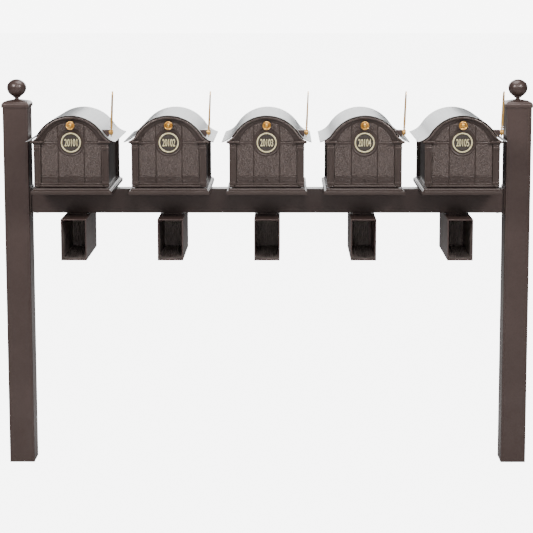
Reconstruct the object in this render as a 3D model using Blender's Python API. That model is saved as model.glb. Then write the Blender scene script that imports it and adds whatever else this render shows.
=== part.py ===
"""Cluster mailbox unit: five cast mailboxes and five newspaper boxes on one beam between two posts.

Metres, +Z up, the doors face -Y.  The origin is under the middle of the unit's
bounding box, at the height of the post feet.  Each mailbox is modelled about
its own bottom centre and then placed along the beam.
"""

import math

import bmesh
import bpy
from mathutils import Matrix, Vector

# ---------------------------------------------------------------- driving dimensions

# Clearances
TOUCH_GAP = 0.0003          # between two pieces that are bolted or seated face to face
PIN_GAP = 0.0003            # radial, round a rod, axle or stud
DOOR_GAP = 0.0030           # between the door's arched edge and the underside of the roof
CAPITAL_GAP = 0.0016        # between the capitals and the underside of the eaves
EAR_GAP = 0.0005            # round each hinge ear, inside its notch in the door
TONGUE_GAP = 0.0006         # between a bracket's tongue and the bore of the beam

# Row
BOX_COUNT = 5
BOX_PITCH = 0.4572          # 18 in from mailbox to mailbox

# Posts, caps and finials
POST_SIZE = 0.12065         # 4.75 in square tube
POST_WALL = 0.0040
POST_CORNER = 0.0050
POST_HEIGHT = 1.7560
CAP_SOCKET = 0.0130         # how far a cap comes down over its post
CAP_WALL = 0.0045
CAP_COLLAR_HEIGHT = 0.0150
CAP_BEVEL_IN = 0.0075
CAP_BEVEL_HEIGHT = 0.0110
CAP_PEAK_HEIGHT = 0.0100
CAP_PEAK_HALF = 0.0120
FINIAL_NECK_RADIUS = 0.0100
FINIAL_NECK_HEIGHT = 0.0110
FINIAL_COLLAR_RADIUS = 0.0180
FINIAL_BALL_RADIUS = 0.0460
FINIAL_BALL_CENTRE = 0.0570
FINIAL_HEIGHT = 0.0960
FINIAL_TAPER_ANGLE = 50.0   # degrees below the widest point, where the ball turns into a cone
FINIAL_STUD_RADIUS = 0.0050
FINIAL_STUD_LENGTH = 0.0200

# Beam and its end brackets
BEAM_TOP = 1.3500
BEAM_HEIGHT = 0.1170
BEAM_DEPTH = 0.0800
BEAM_WALL = 0.0040
BRACKET_PLATE = 0.0050
BRACKET_DEPTH = 0.1040
BRACKET_ABOVE = 0.0100      # how far a bracket plate stands above the beam
BRACKET_BELOW = 0.0060
TONGUE_LENGTH = 0.0700
TONGUE_WALL = 0.0040

# Mailbox base and side walls
BOX_DEPTH = 0.5080
LEDGE_HALF_WIDTH = 0.1885
LEDGE_FACE = 0.0180         # height of the ledge's upright face
LEDGE_HEIGHT = 0.0300
LEDGE_SETBACK = 0.0135      # from the ledge's face to the pilasters' face
FLOOR_THICKNESS = 0.0040
WALL_HALF_WIDTH = 0.1600
WALL_THICKNESS = 0.0040
HOOP_HALF_WIDTH = 0.1620    # the frame that the door closes against
HOOP_BAND = 0.0120
HOOP_THICKNESS = 0.0040
HOOP_SILL = 0.0050

# Roof
ROOF_SHEET = 0.0040
ROOF_CROWN_RADIUS = 0.1800
ROOF_FLARE_RADIUS = 0.0950
ROOF_FLARE_OUT = 0.23063    # from the mailbox's middle to the flare's centre
ROOF_FLARE_HEIGHT = 0.34278     # of the flare's centre above the mailbox's bottom
ROOF_EAVE_ANGLE = 17.0      # slope of the eave, degrees
ROOF_EAVE_LIP = 0.0075

# Front casting (the door) and rear casting
PLATE_THICKNESS = 0.0060
PLATE_HALF_WIDTH = 0.1745
PILASTER_OUTER = 0.1750
PILASTER_INNER = 0.1435
PILASTER_RELIEF = 0.0095
CAPITAL_BOTTOM = 0.2190
CAPITAL_COVE = 0.0160       # height of the cove
CAPITAL_NECK = 0.0080       # height of the straight neck below the cove
CAPITAL_SPREAD = 0.0130     # how far a capital stands out from its pilaster
CAPITAL_INNER_SPREAD = 0.0145
CAPITAL_RELIEF = 0.0125
SPANDREL_RELIEF = 0.0060
ARCH_HALF_WIDTH = 0.1370
ARCH_RADIUS = 0.1474
ARCH_BELOW_ROOF = 0.0250    # from the top of the roof to the top of the arch
BOSS_RADIUS = 0.0650
BOSS_RELIEF = 0.0035
BOSS_HEIGHT = 0.2440        # centre of the round boss and of the number plaque

# Door hinge
HINGE_HEIGHT = 0.0390
BARREL_RADIUS = 0.0063
ROD_RADIUS = 0.0020
ROD_INSET = 0.0010          # from the door's side to the end of the rod
EAR_RADIUS = 0.0042
EAR_WIDTH = 0.0080
EAR_CENTRE = 0.1500

# Plaque and knob
PLAQUE_RADIUS = 0.0468
PLAQUE_RIM = 0.0062
PLAQUE_RIM_THICKNESS = 0.0060
PLAQUE_FIELD_THICKNESS = 0.0040
KNOB_BELOW_ARCH = 0.0225    # from the top of the arch to the knob's middle
KNOB_RADIUS = 0.0208
KNOB_LENGTH = 0.0370
KNOB_ROSE_RADIUS = 0.0120
KNOB_ROSE_LENGTH = 0.0030
KNOB_STEM_RADIUS = 0.0070
KNOB_STEM_LENGTH = 0.0060

# Flag and its bracket
FLAG_SETBACK = 0.0490       # from the mailbox's front to the axle
FLAG_HEIGHT = 0.2900        # of its axle above the mailbox's bottom
FLAG_AXLE_RADIUS = 0.0040
FLAG_AXLE_LENGTH = 0.0170
FLAG_HUB_RADIUS = 0.0125
FLAG_HUB_WIDTH = 0.0180
FLAG_LEAN = 2.4             # degrees outwards
FLAG_REACH = 0.1920         # from the axle to the tip
FLAG_TAIL = 0.0225
FLAG_NECK_DEPTH = 0.0130
FLAG_NECK_THICKNESS = 0.0075
FLAG_SHOULDER_DEPTH = 0.0220
FLAG_SHOULDER_THICKNESS = 0.0090
FLAG_BLADE_DEPTH = 0.0340
FLAG_BLADE_THICKNESS = 0.0055
FLAG_TIP_DEPTH = 0.0140
FLAG_TIP_BEVEL = 0.0065
FLAG_TAIL_DEPTH = 0.0110
FLAG_TAIL_POINT = 0.0025
LUG_FACE = 0.1765           # from the mailbox's middle to the lug's outer face
LUG_LENGTH = 0.0250
LUG_RISE = 0.0115           # above the axle
LUG_FOOT_OUTER = 0.1720
LUG_CHIN = 0.0140           # below the axle

# Newspaper box
NEWS_WIDTH = 0.12065
NEWS_HEIGHT = 0.1970
NEWS_DEPTH = 0.4000
NEWS_WALL = 0.0030
NEWS_DROP = 0.0070          # from the beam's underside to the box's top
NEWS_PAD_WIDTH = 0.0900
NEWS_PAD_DEPTH = 0.0700

# ---------------------------------------------------------------- places worked out from them

OVERLAP = 0.0020            # how far two shapes that are joined into one piece run into each other
WIDE = 1.0                  # a cut that runs past everything
POST_X = BOX_COUNT * BOX_PITCH / 2 + POST_SIZE / 2
CAP_BASE = POST_HEIGHT + TOUCH_GAP - CAP_SOCKET
CAP_HALF = POST_SIZE / 2 + TOUCH_GAP + CAP_WALL
CAP_HEIGHT = CAP_COLLAR_HEIGHT + CAP_BEVEL_HEIGHT + CAP_PEAK_HEIGHT
BEAM_MIDDLE = BEAM_TOP - BEAM_HEIGHT / 2
BEAM_LENGTH = BOX_COUNT * BOX_PITCH - 2 * (BRACKET_PLATE + 2 * TOUCH_GAP)
BOX_BOTTOM = BEAM_TOP + TOUCH_GAP
HALF_DEPTH = BOX_DEPTH / 2
PILASTER_FACE = HALF_DEPTH - LEDGE_SETBACK
FIELD_FACE = PILASTER_FACE - PILASTER_RELIEF
PLATE_BACK = FIELD_FACE - PLATE_THICKNESS
BODY_END = PLATE_BACK - TOUCH_GAP
FLAG_Y = FLAG_SETBACK - HALF_DEPTH
HINGE_Y = -(PILASTER_FACE - BARREL_RADIUS - OVERLAP / 8)
PLAQUE_BACK = FIELD_FACE + BOSS_RELIEF + TOUCH_GAP
KNOB_BACK = FIELD_FACE + TOUCH_GAP
KNOB_FRONT = KNOB_BACK + KNOB_LENGTH
HUB_FACE = LUG_FACE + TOUCH_GAP
POST_LINE_Y = (max(KNOB_FRONT, HALF_DEPTH) - HALF_DEPTH) / 2
ROOF_REACH = ROOF_CROWN_RADIUS + ROOF_FLARE_RADIUS
ROOF_CROWN_ANGLE = math.degrees(math.asin(ROOF_FLARE_OUT / ROOF_REACH))     # from the top to the flare
ROOF_CROWN_CENTRE = ROOF_FLARE_HEIGHT - ROOF_REACH * math.cos(math.radians(ROOF_CROWN_ANGLE))
ROOF_TOP = ROOF_CROWN_CENTRE + ROOF_CROWN_RADIUS
ARCH_TOP = ROOF_TOP - ARCH_BELOW_ROOF
KNOB_HEIGHT = ARCH_TOP - KNOB_BELOW_ARCH

ROUND_SMALL = 10            # sides of a round shape
ROUND_MEDIUM = 16
ROUND_LARGE = 24
CORNER_STEPS = 3            # steps of a quarter turn
COVE_STEPS = 3
CROWN_STEPS = 7
FLARE_STEPS = 5
ARCH_STEPS = 12
EAR_STEPS = 6
BALL_STEPS = 6
TAPER_STEPS = 4

# ---------------------------------------------------------------- materials

BRONZE = ("bronze_paint", (0.090, 0.066, 0.060), 0.42, 0.35)
ROOF_SATIN = ("roof_satin", (0.560, 0.560, 0.555), 0.38, 0.30)
GOLD = ("gold_finish", (0.780, 0.480, 0.160), 0.30, 0.90)
PLAQUE_FINISH = ("plaque_finish", (0.620, 0.560, 0.360), 0.40, 0.50)
STEEL = ("rod_steel", (0.450, 0.450, 0.450), 0.35, 1.00)


def get_material(finish):
    """The Principled material for a (name, colour, roughness, metallic) finish, made once."""
    name, colour, roughness, metallic = finish
    found = bpy.data.materials.get(name)
    if found:
        return found
    material = bpy.data.materials.new(name)
    material.use_nodes = True
    shader = material.node_tree.nodes["Principled BSDF"]
    shader.inputs["Base Color"].default_value = (*colour, 1.0)
    shader.inputs["Roughness"].default_value = roughness
    shader.inputs["Metallic"].default_value = metallic
    return material


# ---------------------------------------------------------------- shape helpers


def prism(outline, start, end, axis="Y"):
    """Closed block: a flat outline pushed along an axis from start to end.

    The outline is (x, z) pairs for axis Y, (y, z) for axis X and (x, y) for axis Z.
    """
    place = {
        "X": lambda a, b: (start, a, b),
        "Y": lambda a, b: (a, start, b),
        "Z": lambda a, b: (a, b, start),
    }[axis]
    shape = bmesh.new()
    face = shape.faces.new([shape.verts.new(place(a, b)) for a, b in outline])
    grown = bmesh.ops.extrude_face_region(shape, geom=[face])
    moved = [item for item in grown["geom"] if isinstance(item, bmesh.types.BMVert)]
    step = Vector((axis == "X", axis == "Y", axis == "Z")) * (end - start)
    bmesh.ops.translate(shape, vec=step, verts=moved)
    bmesh.ops.recalc_face_normals(shape, faces=shape.faces)
    return shape


def block(x_range, y_range, z_range):
    """Closed box between three pairs of limits."""
    low = Vector((x_range[0], y_range[0], z_range[0]))
    high = Vector((x_range[1], y_range[1], z_range[1]))
    shape = bmesh.new()
    bmesh.ops.create_cube(shape, size=1.0)
    bmesh.ops.scale(shape, vec=high - low, verts=shape.verts)
    bmesh.ops.translate(shape, vec=(low + high) / 2, verts=shape.verts)
    return shape


def tower(levels):
    """Closed block that rises through rectangles (x0, x1, y0, y1, z), lowest first."""
    x0, x1, y0, y1, z = levels[0]
    shape = bmesh.new()
    corners = [(x0, y0, z), (x1, y0, z), (x1, y1, z), (x0, y1, z)]
    top = shape.faces.new([shape.verts.new(corner) for corner in corners])
    middle = Vector(((x0 + x1) / 2, (y0 + y1) / 2, 0))
    for count, (x0, x1, y0, y1, z) in enumerate(levels[1:]):
        grown = bmesh.ops.extrude_face_region(shape, geom=[top])
        if count:
            bmesh.ops.delete(shape, geom=[top], context="FACES_ONLY")
        top = next(item for item in grown["geom"] if isinstance(item, bmesh.types.BMFace))
        for vert in top.verts:
            vert.co.x = x1 if vert.co.x > middle.x else x0
            vert.co.y = y1 if vert.co.y > middle.y else y0
            vert.co.z = z
        middle = Vector(((x0 + x1) / 2, (y0 + y1) / 2, 0))
    bmesh.ops.recalc_face_normals(shape, faces=shape.faces)
    return shape


def square_levels(pairs):
    """Levels for tower() from (half width, height) pairs."""
    return [(-half, half, -half, half, z) for half, z in pairs]


def turned(profile, segments, axis="Z"):
    """Closed round shape from (radius, along) points, turned about an axis."""
    shape = bmesh.new()
    verts = [shape.verts.new((radius, 0, along)) for radius, along in profile]
    edges = [shape.edges.new(pair) for pair in zip(verts, verts[1:])]
    bmesh.ops.spin(
        shape, geom=verts + edges, cent=(0, 0, 0), axis=(0, 0, 1), dvec=(0, 0, 0),
        angle=math.tau, steps=segments, use_merge=True, use_duplicate=False,
    )
    bmesh.ops.remove_doubles(shape, verts=shape.verts, dist=1e-6)
    if axis == "X":
        bmesh.ops.rotate(shape, matrix=Matrix.Rotation(math.pi / 2, 3, "Y"), verts=shape.verts)
    if axis == "Y":
        bmesh.ops.rotate(shape, matrix=Matrix.Rotation(-math.pi / 2, 3, "X"), verts=shape.verts)
    bmesh.ops.recalc_face_normals(shape, faces=shape.faces)
    return shape


def cylinder(radius, start, end, segments, axis="Z"):
    """Closed cylinder about an axis, from start to end along it."""
    return turned([(0, start), (radius, start), (radius, end), (0, end)], segments, axis)


def moved_by(shape, offset):
    """The same shape, moved."""
    bmesh.ops.translate(shape, vec=offset, verts=shape.verts)
    return shape


def mirrored(shape, axis):
    """The same shape, mirrored through the origin along X or Y."""
    scale = Vector((-1 if axis == "X" else 1, -1 if axis == "Y" else 1, 1))
    bmesh.ops.scale(shape, vec=scale, verts=shape.verts)
    bmesh.ops.reverse_faces(shape, faces=shape.faces)
    return shape


def as_object(shape, name):
    """An object that holds the shape, linked to the scene."""
    mesh = bpy.data.meshes.new(name)
    shape.to_mesh(mesh)
    shape.free()
    thing = bpy.data.objects.new(name, mesh)
    bpy.context.scene.collection.objects.link(thing)
    return thing


def worked(start, steps):
    """The shape after each (operation, tool shape) of steps, UNION or DIFFERENCE, in order."""
    base = as_object(start, "workpiece")
    tools = []
    for operation, tool_shape in steps:
        tool = as_object(tool_shape, "cutter")
        tool.hide_render = True
        tool.display_type = "WIRE"
        tools.append(tool)
        cut = base.modifiers.new(operation.lower(), "BOOLEAN")
        cut.operation = operation
        cut.solver = "EXACT"
        cut.object = tool
    depsgraph = bpy.context.evaluated_depsgraph_get()
    result = bmesh.new()
    result.from_object(base, depsgraph)
    for thing in [base, *tools]:
        bpy.data.objects.remove(thing, do_unlink=True)
    bmesh.ops.remove_doubles(result, verts=result.verts, dist=1e-6)
    bmesh.ops.dissolve_limit(
        result, angle_limit=math.radians(0.2), verts=result.verts, edges=result.edges
    )
    return result


def arc(centre, radius, first, last, steps):
    """Points on a circle, from one angle to another in degrees, both ends included."""
    angles = [math.radians(first + (last - first) * step / steps) for step in range(steps + 1)]
    return [(centre[0] + radius * math.cos(a), centre[1] + radius * math.sin(a)) for a in angles]


def rounded_square(half, radius):
    """Outline of a square with rounded corners."""
    inner = half - radius
    points = []
    for start, x, y in ((0, 1, 1), (90, -1, 1), (180, -1, -1), (270, 1, -1)):
        points += arc((x * inner, y * inner), radius, start, start + 90, CORNER_STEPS)
    return points


# ---------------------------------------------------------------- the roof's section


def roof_section(inset):
    """The roof's curve, left to right, as (x, z) points, set in from its top surface by inset."""
    flare_centre = (ROOF_FLARE_OUT, ROOF_FLARE_HEIGHT)
    flare_start = 270 - ROOF_CROWN_ANGLE
    flare_end = 270 - ROOF_EAVE_ANGLE
    crown_centre = (0, ROOF_CROWN_CENTRE)
    half = arc(crown_centre, ROOF_CROWN_RADIUS - inset, 90, 90 - ROOF_CROWN_ANGLE, CROWN_STEPS)
    half += arc(flare_centre, ROOF_FLARE_RADIUS + inset, flare_start, flare_end, FLARE_STEPS)[1:]
    slope = math.radians(ROOF_EAVE_ANGLE)
    tip_x, tip_z = half[-1]
    half.append((tip_x + ROOF_EAVE_LIP * math.cos(slope), tip_z - ROOF_EAVE_LIP * math.sin(slope)))
    return [(-x, z) for x, z in reversed(half[1:])] + half


def height_on(section, x):
    """Height of a left-to-right curve at x."""
    for (x0, z0), (x1, z1) in zip(section, section[1:]):
        if x0 <= x <= x1:
            return z0 + (z1 - z0) * (x - x0) / (x1 - x0)
    return section[-1][1]


def arched_outline(half_width, inset, bottom):
    """Closed outline with straight sides and the roof's curve, set in, as its top."""
    section = roof_section(inset)
    shoulder = height_on(section, half_width)
    top = [(x, z) for x, z in section if abs(x) < half_width - OVERLAP / 10]
    left = [(-half_width, bottom), (-half_width, shoulder)]
    return [*left, *top, (half_width, shoulder), (half_width, bottom)]


def arch_field_outline(bottom):
    """Outline of the sunk field under the casting's own arch."""
    centre = (0, ARCH_TOP - ARCH_RADIUS)
    spring = math.degrees(math.acos(ARCH_HALF_WIDTH / ARCH_RADIUS))
    over = arc(centre, ARCH_RADIUS, spring, 180 - spring, ARCH_STEPS)
    return [(ARCH_HALF_WIDTH, bottom), *over, (-ARCH_HALF_WIDTH, bottom)]


# ---------------------------------------------------------------- posts and beam


def post_shape():
    """Square tube, open at both ends."""
    half = POST_SIZE / 2
    tube = prism(rounded_square(half, POST_CORNER), 0, POST_HEIGHT, "Z")
    bore = rounded_square(half - POST_WALL, POST_CORNER - POST_WALL / 2)
    return worked(tube, [("DIFFERENCE", prism(bore, -WIDE, POST_HEIGHT + WIDE, "Z"))])


def cap_shape():
    """Hollow pyramid cap that fits over the post, with a hole for the finial's stud."""
    shoulder = CAP_HALF - CAP_BEVEL_IN
    bevel_top = CAP_COLLAR_HEIGHT + CAP_BEVEL_HEIGHT
    outside = [(CAP_HALF, 0), (CAP_HALF, CAP_COLLAR_HEIGHT), (shoulder, bevel_top)]
    outside.append((CAP_PEAK_HALF, CAP_HEIGHT))
    socket = POST_SIZE / 2 + TOUCH_GAP
    hollow = socket - CAP_WALL
    peak = CAP_HEIGHT - CAP_WALL
    inside = [(socket, -OVERLAP), (socket, CAP_SOCKET), (hollow, CAP_SOCKET + OVERLAP)]
    inside += [(hollow - CAP_BEVEL_IN / 2, bevel_top - CAP_WALL), (CAP_PEAK_HALF, peak)]
    stud_hole = cylinder(FINIAL_STUD_RADIUS + PIN_GAP, 0, CAP_HEIGHT + WIDE, ROUND_SMALL)
    return worked(
        tower(square_levels(outside)),
        [("DIFFERENCE", tower(square_levels(inside))), ("DIFFERENCE", stud_hole)],
    )


def finial_shape():
    """Teardrop ball on a short neck, with the stud that holds it to the cap."""
    ball, centre = FINIAL_BALL_RADIUS, FINIAL_BALL_CENTRE
    profile = [(0, -FINIAL_STUD_LENGTH), (FINIAL_STUD_RADIUS, -FINIAL_STUD_LENGTH)]
    profile += [(FINIAL_STUD_RADIUS, TOUCH_GAP), (FINIAL_NECK_RADIUS, TOUCH_GAP)]
    profile += [(FINIAL_NECK_RADIUS, FINIAL_NECK_HEIGHT - OVERLAP)]
    profile += [(FINIAL_COLLAR_RADIUS, FINIAL_NECK_HEIGHT)]
    profile += arc((0, centre), ball, -FINIAL_TAPER_ANGLE, 0, TAPER_STEPS)
    crown = FINIAL_HEIGHT - centre
    for step in range(1, BALL_STEPS):
        lift = math.pi / 2 * step / (BALL_STEPS - 1)
        profile.append((ball * math.cos(lift), centre + crown * math.sin(lift)))
    return turned(profile, ROUND_MEDIUM)


def beam_shape():
    """Rectangular tube between the two brackets."""
    half_x, half_y, half_z = BEAM_LENGTH / 2, BEAM_DEPTH / 2, BEAM_HEIGHT / 2
    tube = block((-half_x, half_x), (-half_y, half_y), (-half_z, half_z))
    inner_y, inner_z = half_y - BEAM_WALL, half_z - BEAM_WALL
    bore = block((-half_x - WIDE, half_x + WIDE), (-inner_y, inner_y), (-inner_z, inner_z))
    return worked(tube, [("DIFFERENCE", bore)])


def bracket_shape():
    """Plate against a post with a hollow tongue that enters the beam, seen as the left one."""
    half_y, half_z = BRACKET_DEPTH / 2, BEAM_HEIGHT / 2
    plate_z = (-half_z - BRACKET_BELOW, half_z + BRACKET_ABOVE)
    plate = block((0, BRACKET_PLATE), (-half_y, half_y), plate_z)
    tongue_y = BEAM_DEPTH / 2 - BEAM_WALL - TONGUE_GAP
    tongue_z = half_z - BEAM_WALL - TONGUE_GAP
    tongue_end = BRACKET_PLATE + TONGUE_LENGTH
    tongue = block((BRACKET_PLATE - OVERLAP, tongue_end), (-tongue_y, tongue_y), (-tongue_z, tongue_z))
    hollow_y, hollow_z = tongue_y - TONGUE_WALL, tongue_z - TONGUE_WALL
    hollow = block((BRACKET_PLATE, tongue_end + OVERLAP), (-hollow_y, hollow_y), (-hollow_z, hollow_z))
    return worked(plate, [("UNION", tongue), ("DIFFERENCE", hollow)])


# ---------------------------------------------------------------- mailbox shell


def body_shape():
    """Moulded base with a sunk floor, two side walls, the hoop at the front and the hinge ears."""
    wide, deep = LEDGE_HALF_WIDTH, HALF_DEPTH
    levels = [(-wide, wide, -deep, deep, 0), (-wide, wide, -deep, deep, LEDGE_FACE)]
    for step in range(1, COVE_STEPS + 1):
        turn = math.pi / 2 * step / COVE_STEPS
        inset = LEDGE_SETBACK * math.sin(turn)
        z = LEDGE_FACE + (LEDGE_HEIGHT - LEDGE_FACE) * (1 - math.cos(turn))
        levels.append((inset - wide, wide - inset, inset - deep, deep - inset, z))
    hoop_back = BODY_END - HOOP_THICKNESS
    tray_x = WALL_HALF_WIDTH - WALL_THICKNESS - OVERLAP / 2
    tray_y = hoop_back - OVERLAP
    tray = block((-tray_x, tray_x), (-tray_y, tray_y), (FLOOR_THICKNESS, LEDGE_HEIGHT + OVERLAP))
    under_roof = ROOF_SHEET + TOUCH_GAP
    wall_top = height_on(roof_section(under_roof), WALL_HALF_WIDTH) - TOUCH_GAP
    root = LEDGE_HEIGHT - 2 * OVERLAP
    steps = [("DIFFERENCE", tray)]
    for side in ("left", "right"):
        wall = block(
            (WALL_HALF_WIDTH - WALL_THICKNESS, WALL_HALF_WIDTH),
            (-BODY_END + OVERLAP, BODY_END), (root, wall_top),
        )
        steps.append(("UNION", mirrored(wall, "X") if side == "left" else wall))
    hoop = prism(arched_outline(HOOP_HALF_WIDTH, under_roof, root), -BODY_END, -hoop_back)
    inner = HOOP_HALF_WIDTH - HOOP_BAND
    sill = LEDGE_HEIGHT + HOOP_SILL
    way_in = prism(arched_outline(inner, under_roof + HOOP_BAND, sill), -WIDE, WIDE)
    steps.append(("UNION", worked(hoop, [("DIFFERENCE", way_in)])))
    eye = arc((HINGE_Y, HINGE_HEIGHT), EAR_RADIUS, 90, 270, EAR_STEPS)
    tail_y = -BODY_END + HOOP_THICKNESS / 2
    ear_outline = [(tail_y, HINGE_HEIGHT + EAR_RADIUS), *eye, (tail_y, HINGE_HEIGHT - EAR_RADIUS)]
    for centre in (-EAR_CENTRE, EAR_CENTRE):
        ear = prism(ear_outline, centre - EAR_WIDTH / 2, centre + EAR_WIDTH / 2, "X")
        steps.append(("UNION", ear))
    steps.append(("DIFFERENCE", rod_hole(EAR_CENTRE + EAR_WIDTH)))
    return worked(tower(levels), steps)


def rod_hole(half_length):
    """Cutter for the hinge rod's hole, about the door's hinge line."""
    hole = cylinder(ROD_RADIUS + PIN_GAP, -half_length, half_length, ROUND_SMALL, "X")
    return moved_by(hole, (0, HINGE_Y, HINGE_HEIGHT))


def roof_shape():
    """Bell-curved sheet over the whole depth."""
    outline = roof_section(0) + roof_section(ROOF_SHEET)[::-1]
    return prism(outline, -HALF_DEPTH, HALF_DEPTH)


def capital_shape():
    """Capital on the right-hand pilaster, rising from a neck through a cove to a flat top."""
    under = height_on(roof_section(ROOF_SHEET), PILASTER_OUTER + CAPITAL_SPREAD)
    back = -PLATE_BACK - PLATE_THICKNESS / 2
    cove_bottom = CAPITAL_BOTTOM + CAPITAL_NECK
    profile = [(0.0, CAPITAL_BOTTOM), (0.0, cove_bottom)]
    for step in range(1, COVE_STEPS + 1):
        turn = math.pi / 2 * step / COVE_STEPS
        profile.append((1 - math.cos(turn), cove_bottom + CAPITAL_COVE * math.sin(turn)))
    profile.append((1.0, under - CAPITAL_GAP))
    levels = []
    for spread, z in profile:
        x0 = PILASTER_INNER - CAPITAL_INNER_SPREAD * spread - OVERLAP / 4
        x1 = PILASTER_OUTER + CAPITAL_SPREAD * spread + OVERLAP / 4
        levels.append((x0, x1, -PILASTER_FACE - CAPITAL_RELIEF * spread - OVERLAP / 4, back, z))
    return tower(levels)


def casting_steps(bottom, arch_inset):
    """Pilasters, capitals and arched surround that both end castings carry, at the front."""
    back = -PLATE_BACK - PLATE_THICKNESS / 2
    steps = []
    for side in ("left", "right"):
        pilaster = block(
            (PILASTER_INNER, PILASTER_OUTER), (-PILASTER_FACE, back), (bottom, CAPITAL_BOTTOM + OVERLAP)
        )
        capital = capital_shape()
        for shape in (pilaster, capital):
            steps.append(("UNION", mirrored(shape, "X") if side == "left" else shape))
    foot = CAPITAL_BOTTOM + CAPITAL_NECK + CAPITAL_COVE - OVERLAP
    surround = prism(
        arched_outline(PLATE_HALF_WIDTH - OVERLAP / 4, arch_inset + OVERLAP / 4, foot),
        -FIELD_FACE - SPANDREL_RELIEF, back,
    )
    field = prism(arch_field_outline(foot - WIDE / 10), -WIDE, WIDE)
    steps.append(("UNION", worked(surround, [("DIFFERENCE", field)])))
    return steps


def door_shape():
    """Front casting: arched plate with pilasters, boss and a rolled hinge barrel along its foot."""
    inset = ROOF_SHEET + DOOR_GAP
    bottom = HINGE_HEIGHT + OVERLAP / 4
    plate = prism(arched_outline(PLATE_HALF_WIDTH, inset, bottom), -FIELD_FACE, -PLATE_BACK)
    steps = casting_steps(bottom + OVERLAP / 4, inset)
    boss = cylinder(BOSS_RADIUS, -FIELD_FACE - BOSS_RELIEF, -FIELD_FACE + OVERLAP, ROUND_LARGE, "Y")
    steps.append(("UNION", moved_by(boss, (0, 0, BOSS_HEIGHT))))
    half_barrel = PILASTER_OUTER - OVERLAP / 8
    barrel = cylinder(BARREL_RADIUS, -half_barrel, half_barrel, ROUND_MEDIUM, "X")
    steps.append(("UNION", moved_by(barrel, (0, HINGE_Y, HINGE_HEIGHT))))
    reach = EAR_RADIUS + EAR_GAP
    half_notch = EAR_WIDTH / 2 + EAR_GAP
    for centre in (-EAR_CENTRE, EAR_CENTRE):
        notch = block(
            (centre - half_notch, centre + half_notch),
            (HINGE_Y - reach, HINGE_Y + WIDE), (-WIDE, HINGE_HEIGHT + reach),
        )
        steps.append(("DIFFERENCE", notch))
    steps.append(("DIFFERENCE", rod_hole(WIDE)))
    return worked(plate, steps)


def rear_panel_shape():
    """Rear casting: the same surround on a plain plate, standing on the ledge."""
    bottom = LEDGE_HEIGHT + TOUCH_GAP
    inset = ROOF_SHEET + TOUCH_GAP
    plate = prism(arched_outline(PLATE_HALF_WIDTH, inset, bottom), -FIELD_FACE, -PLATE_BACK)
    return mirrored(worked(plate, casting_steps(bottom + OVERLAP / 4, inset)), "Y")


def rod_shape():
    """Hinge rod along the door's foot."""
    half = PLATE_HALF_WIDTH - ROD_INSET
    return cylinder(ROD_RADIUS, -half, half, ROUND_SMALL, "X")


def plaque_shape():
    """Round number plaque with a raised rim, its back at the origin, facing -Y."""
    inner = PLAQUE_RADIUS - PLAQUE_RIM
    profile = [(0, -PLAQUE_FIELD_THICKNESS), (inner, -PLAQUE_FIELD_THICKNESS)]
    profile += [(inner, -PLAQUE_RIM_THICKNESS), (PLAQUE_RADIUS, -PLAQUE_RIM_THICKNESS)]
    profile += [(PLAQUE_RADIUS, 0), (0, 0)]
    return turned(profile, ROUND_LARGE, "Y")


def knob_shape():
    """Round pull on a stem and rose, its back at the origin, facing -Y."""
    stem_end = KNOB_ROSE_LENGTH + KNOB_STEM_LENGTH
    half_ball = (KNOB_LENGTH - stem_end) / 2
    centre = stem_end + half_ball
    profile = [(0, 0), (KNOB_ROSE_RADIUS, 0), (KNOB_ROSE_RADIUS, -KNOB_ROSE_LENGTH)]
    profile += [(KNOB_STEM_RADIUS, -KNOB_ROSE_LENGTH), (KNOB_STEM_RADIUS, -stem_end)]
    start = math.degrees(math.acos(KNOB_STEM_RADIUS / KNOB_RADIUS))
    for step in range(BALL_STEPS + 1):
        turn = math.radians(start - (start + 90) * step / BALL_STEPS)
        profile.append((KNOB_RADIUS * math.cos(turn), half_ball * math.sin(turn) - centre))
    profile[-1] = (0, -KNOB_LENGTH)
    return turned(profile, ROUND_MEDIUM, "Y")


# ---------------------------------------------------------------- flag


def lug_shape():
    """Lug that stands on the roof's flare and carries the flag's axle."""
    section = roof_section(-TOUCH_GAP)
    top = FLAG_HEIGHT + LUG_RISE
    seat = [(x, z) for x, z in section if x > 0 and z < top and x < LUG_FOOT_OUTER - OVERLAP / 2]
    foot = (LUG_FOOT_OUTER, height_on(section, LUG_FOOT_OUTER))
    first_x, first_z = seat[0]
    start_x = first_x - (top - first_z) * math.tan(math.radians(90 - ROOF_CROWN_ANGLE)) + TOUCH_GAP
    outline = [(start_x, top), *seat, foot, (LUG_FACE, FLAG_HEIGHT - LUG_CHIN), (LUG_FACE, top)]
    lug = prism(outline, FLAG_Y - LUG_LENGTH / 2, FLAG_Y + LUG_LENGTH / 2)
    depth = FLAG_AXLE_LENGTH + TOUCH_GAP
    hole = cylinder(FLAG_AXLE_RADIUS + PIN_GAP, LUG_FACE - depth, LUG_FACE + OVERLAP, ROUND_SMALL, "X")
    return worked(lug, [("DIFFERENCE", moved_by(hole, (0, FLAG_Y, FLAG_HEIGHT)))])


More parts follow.
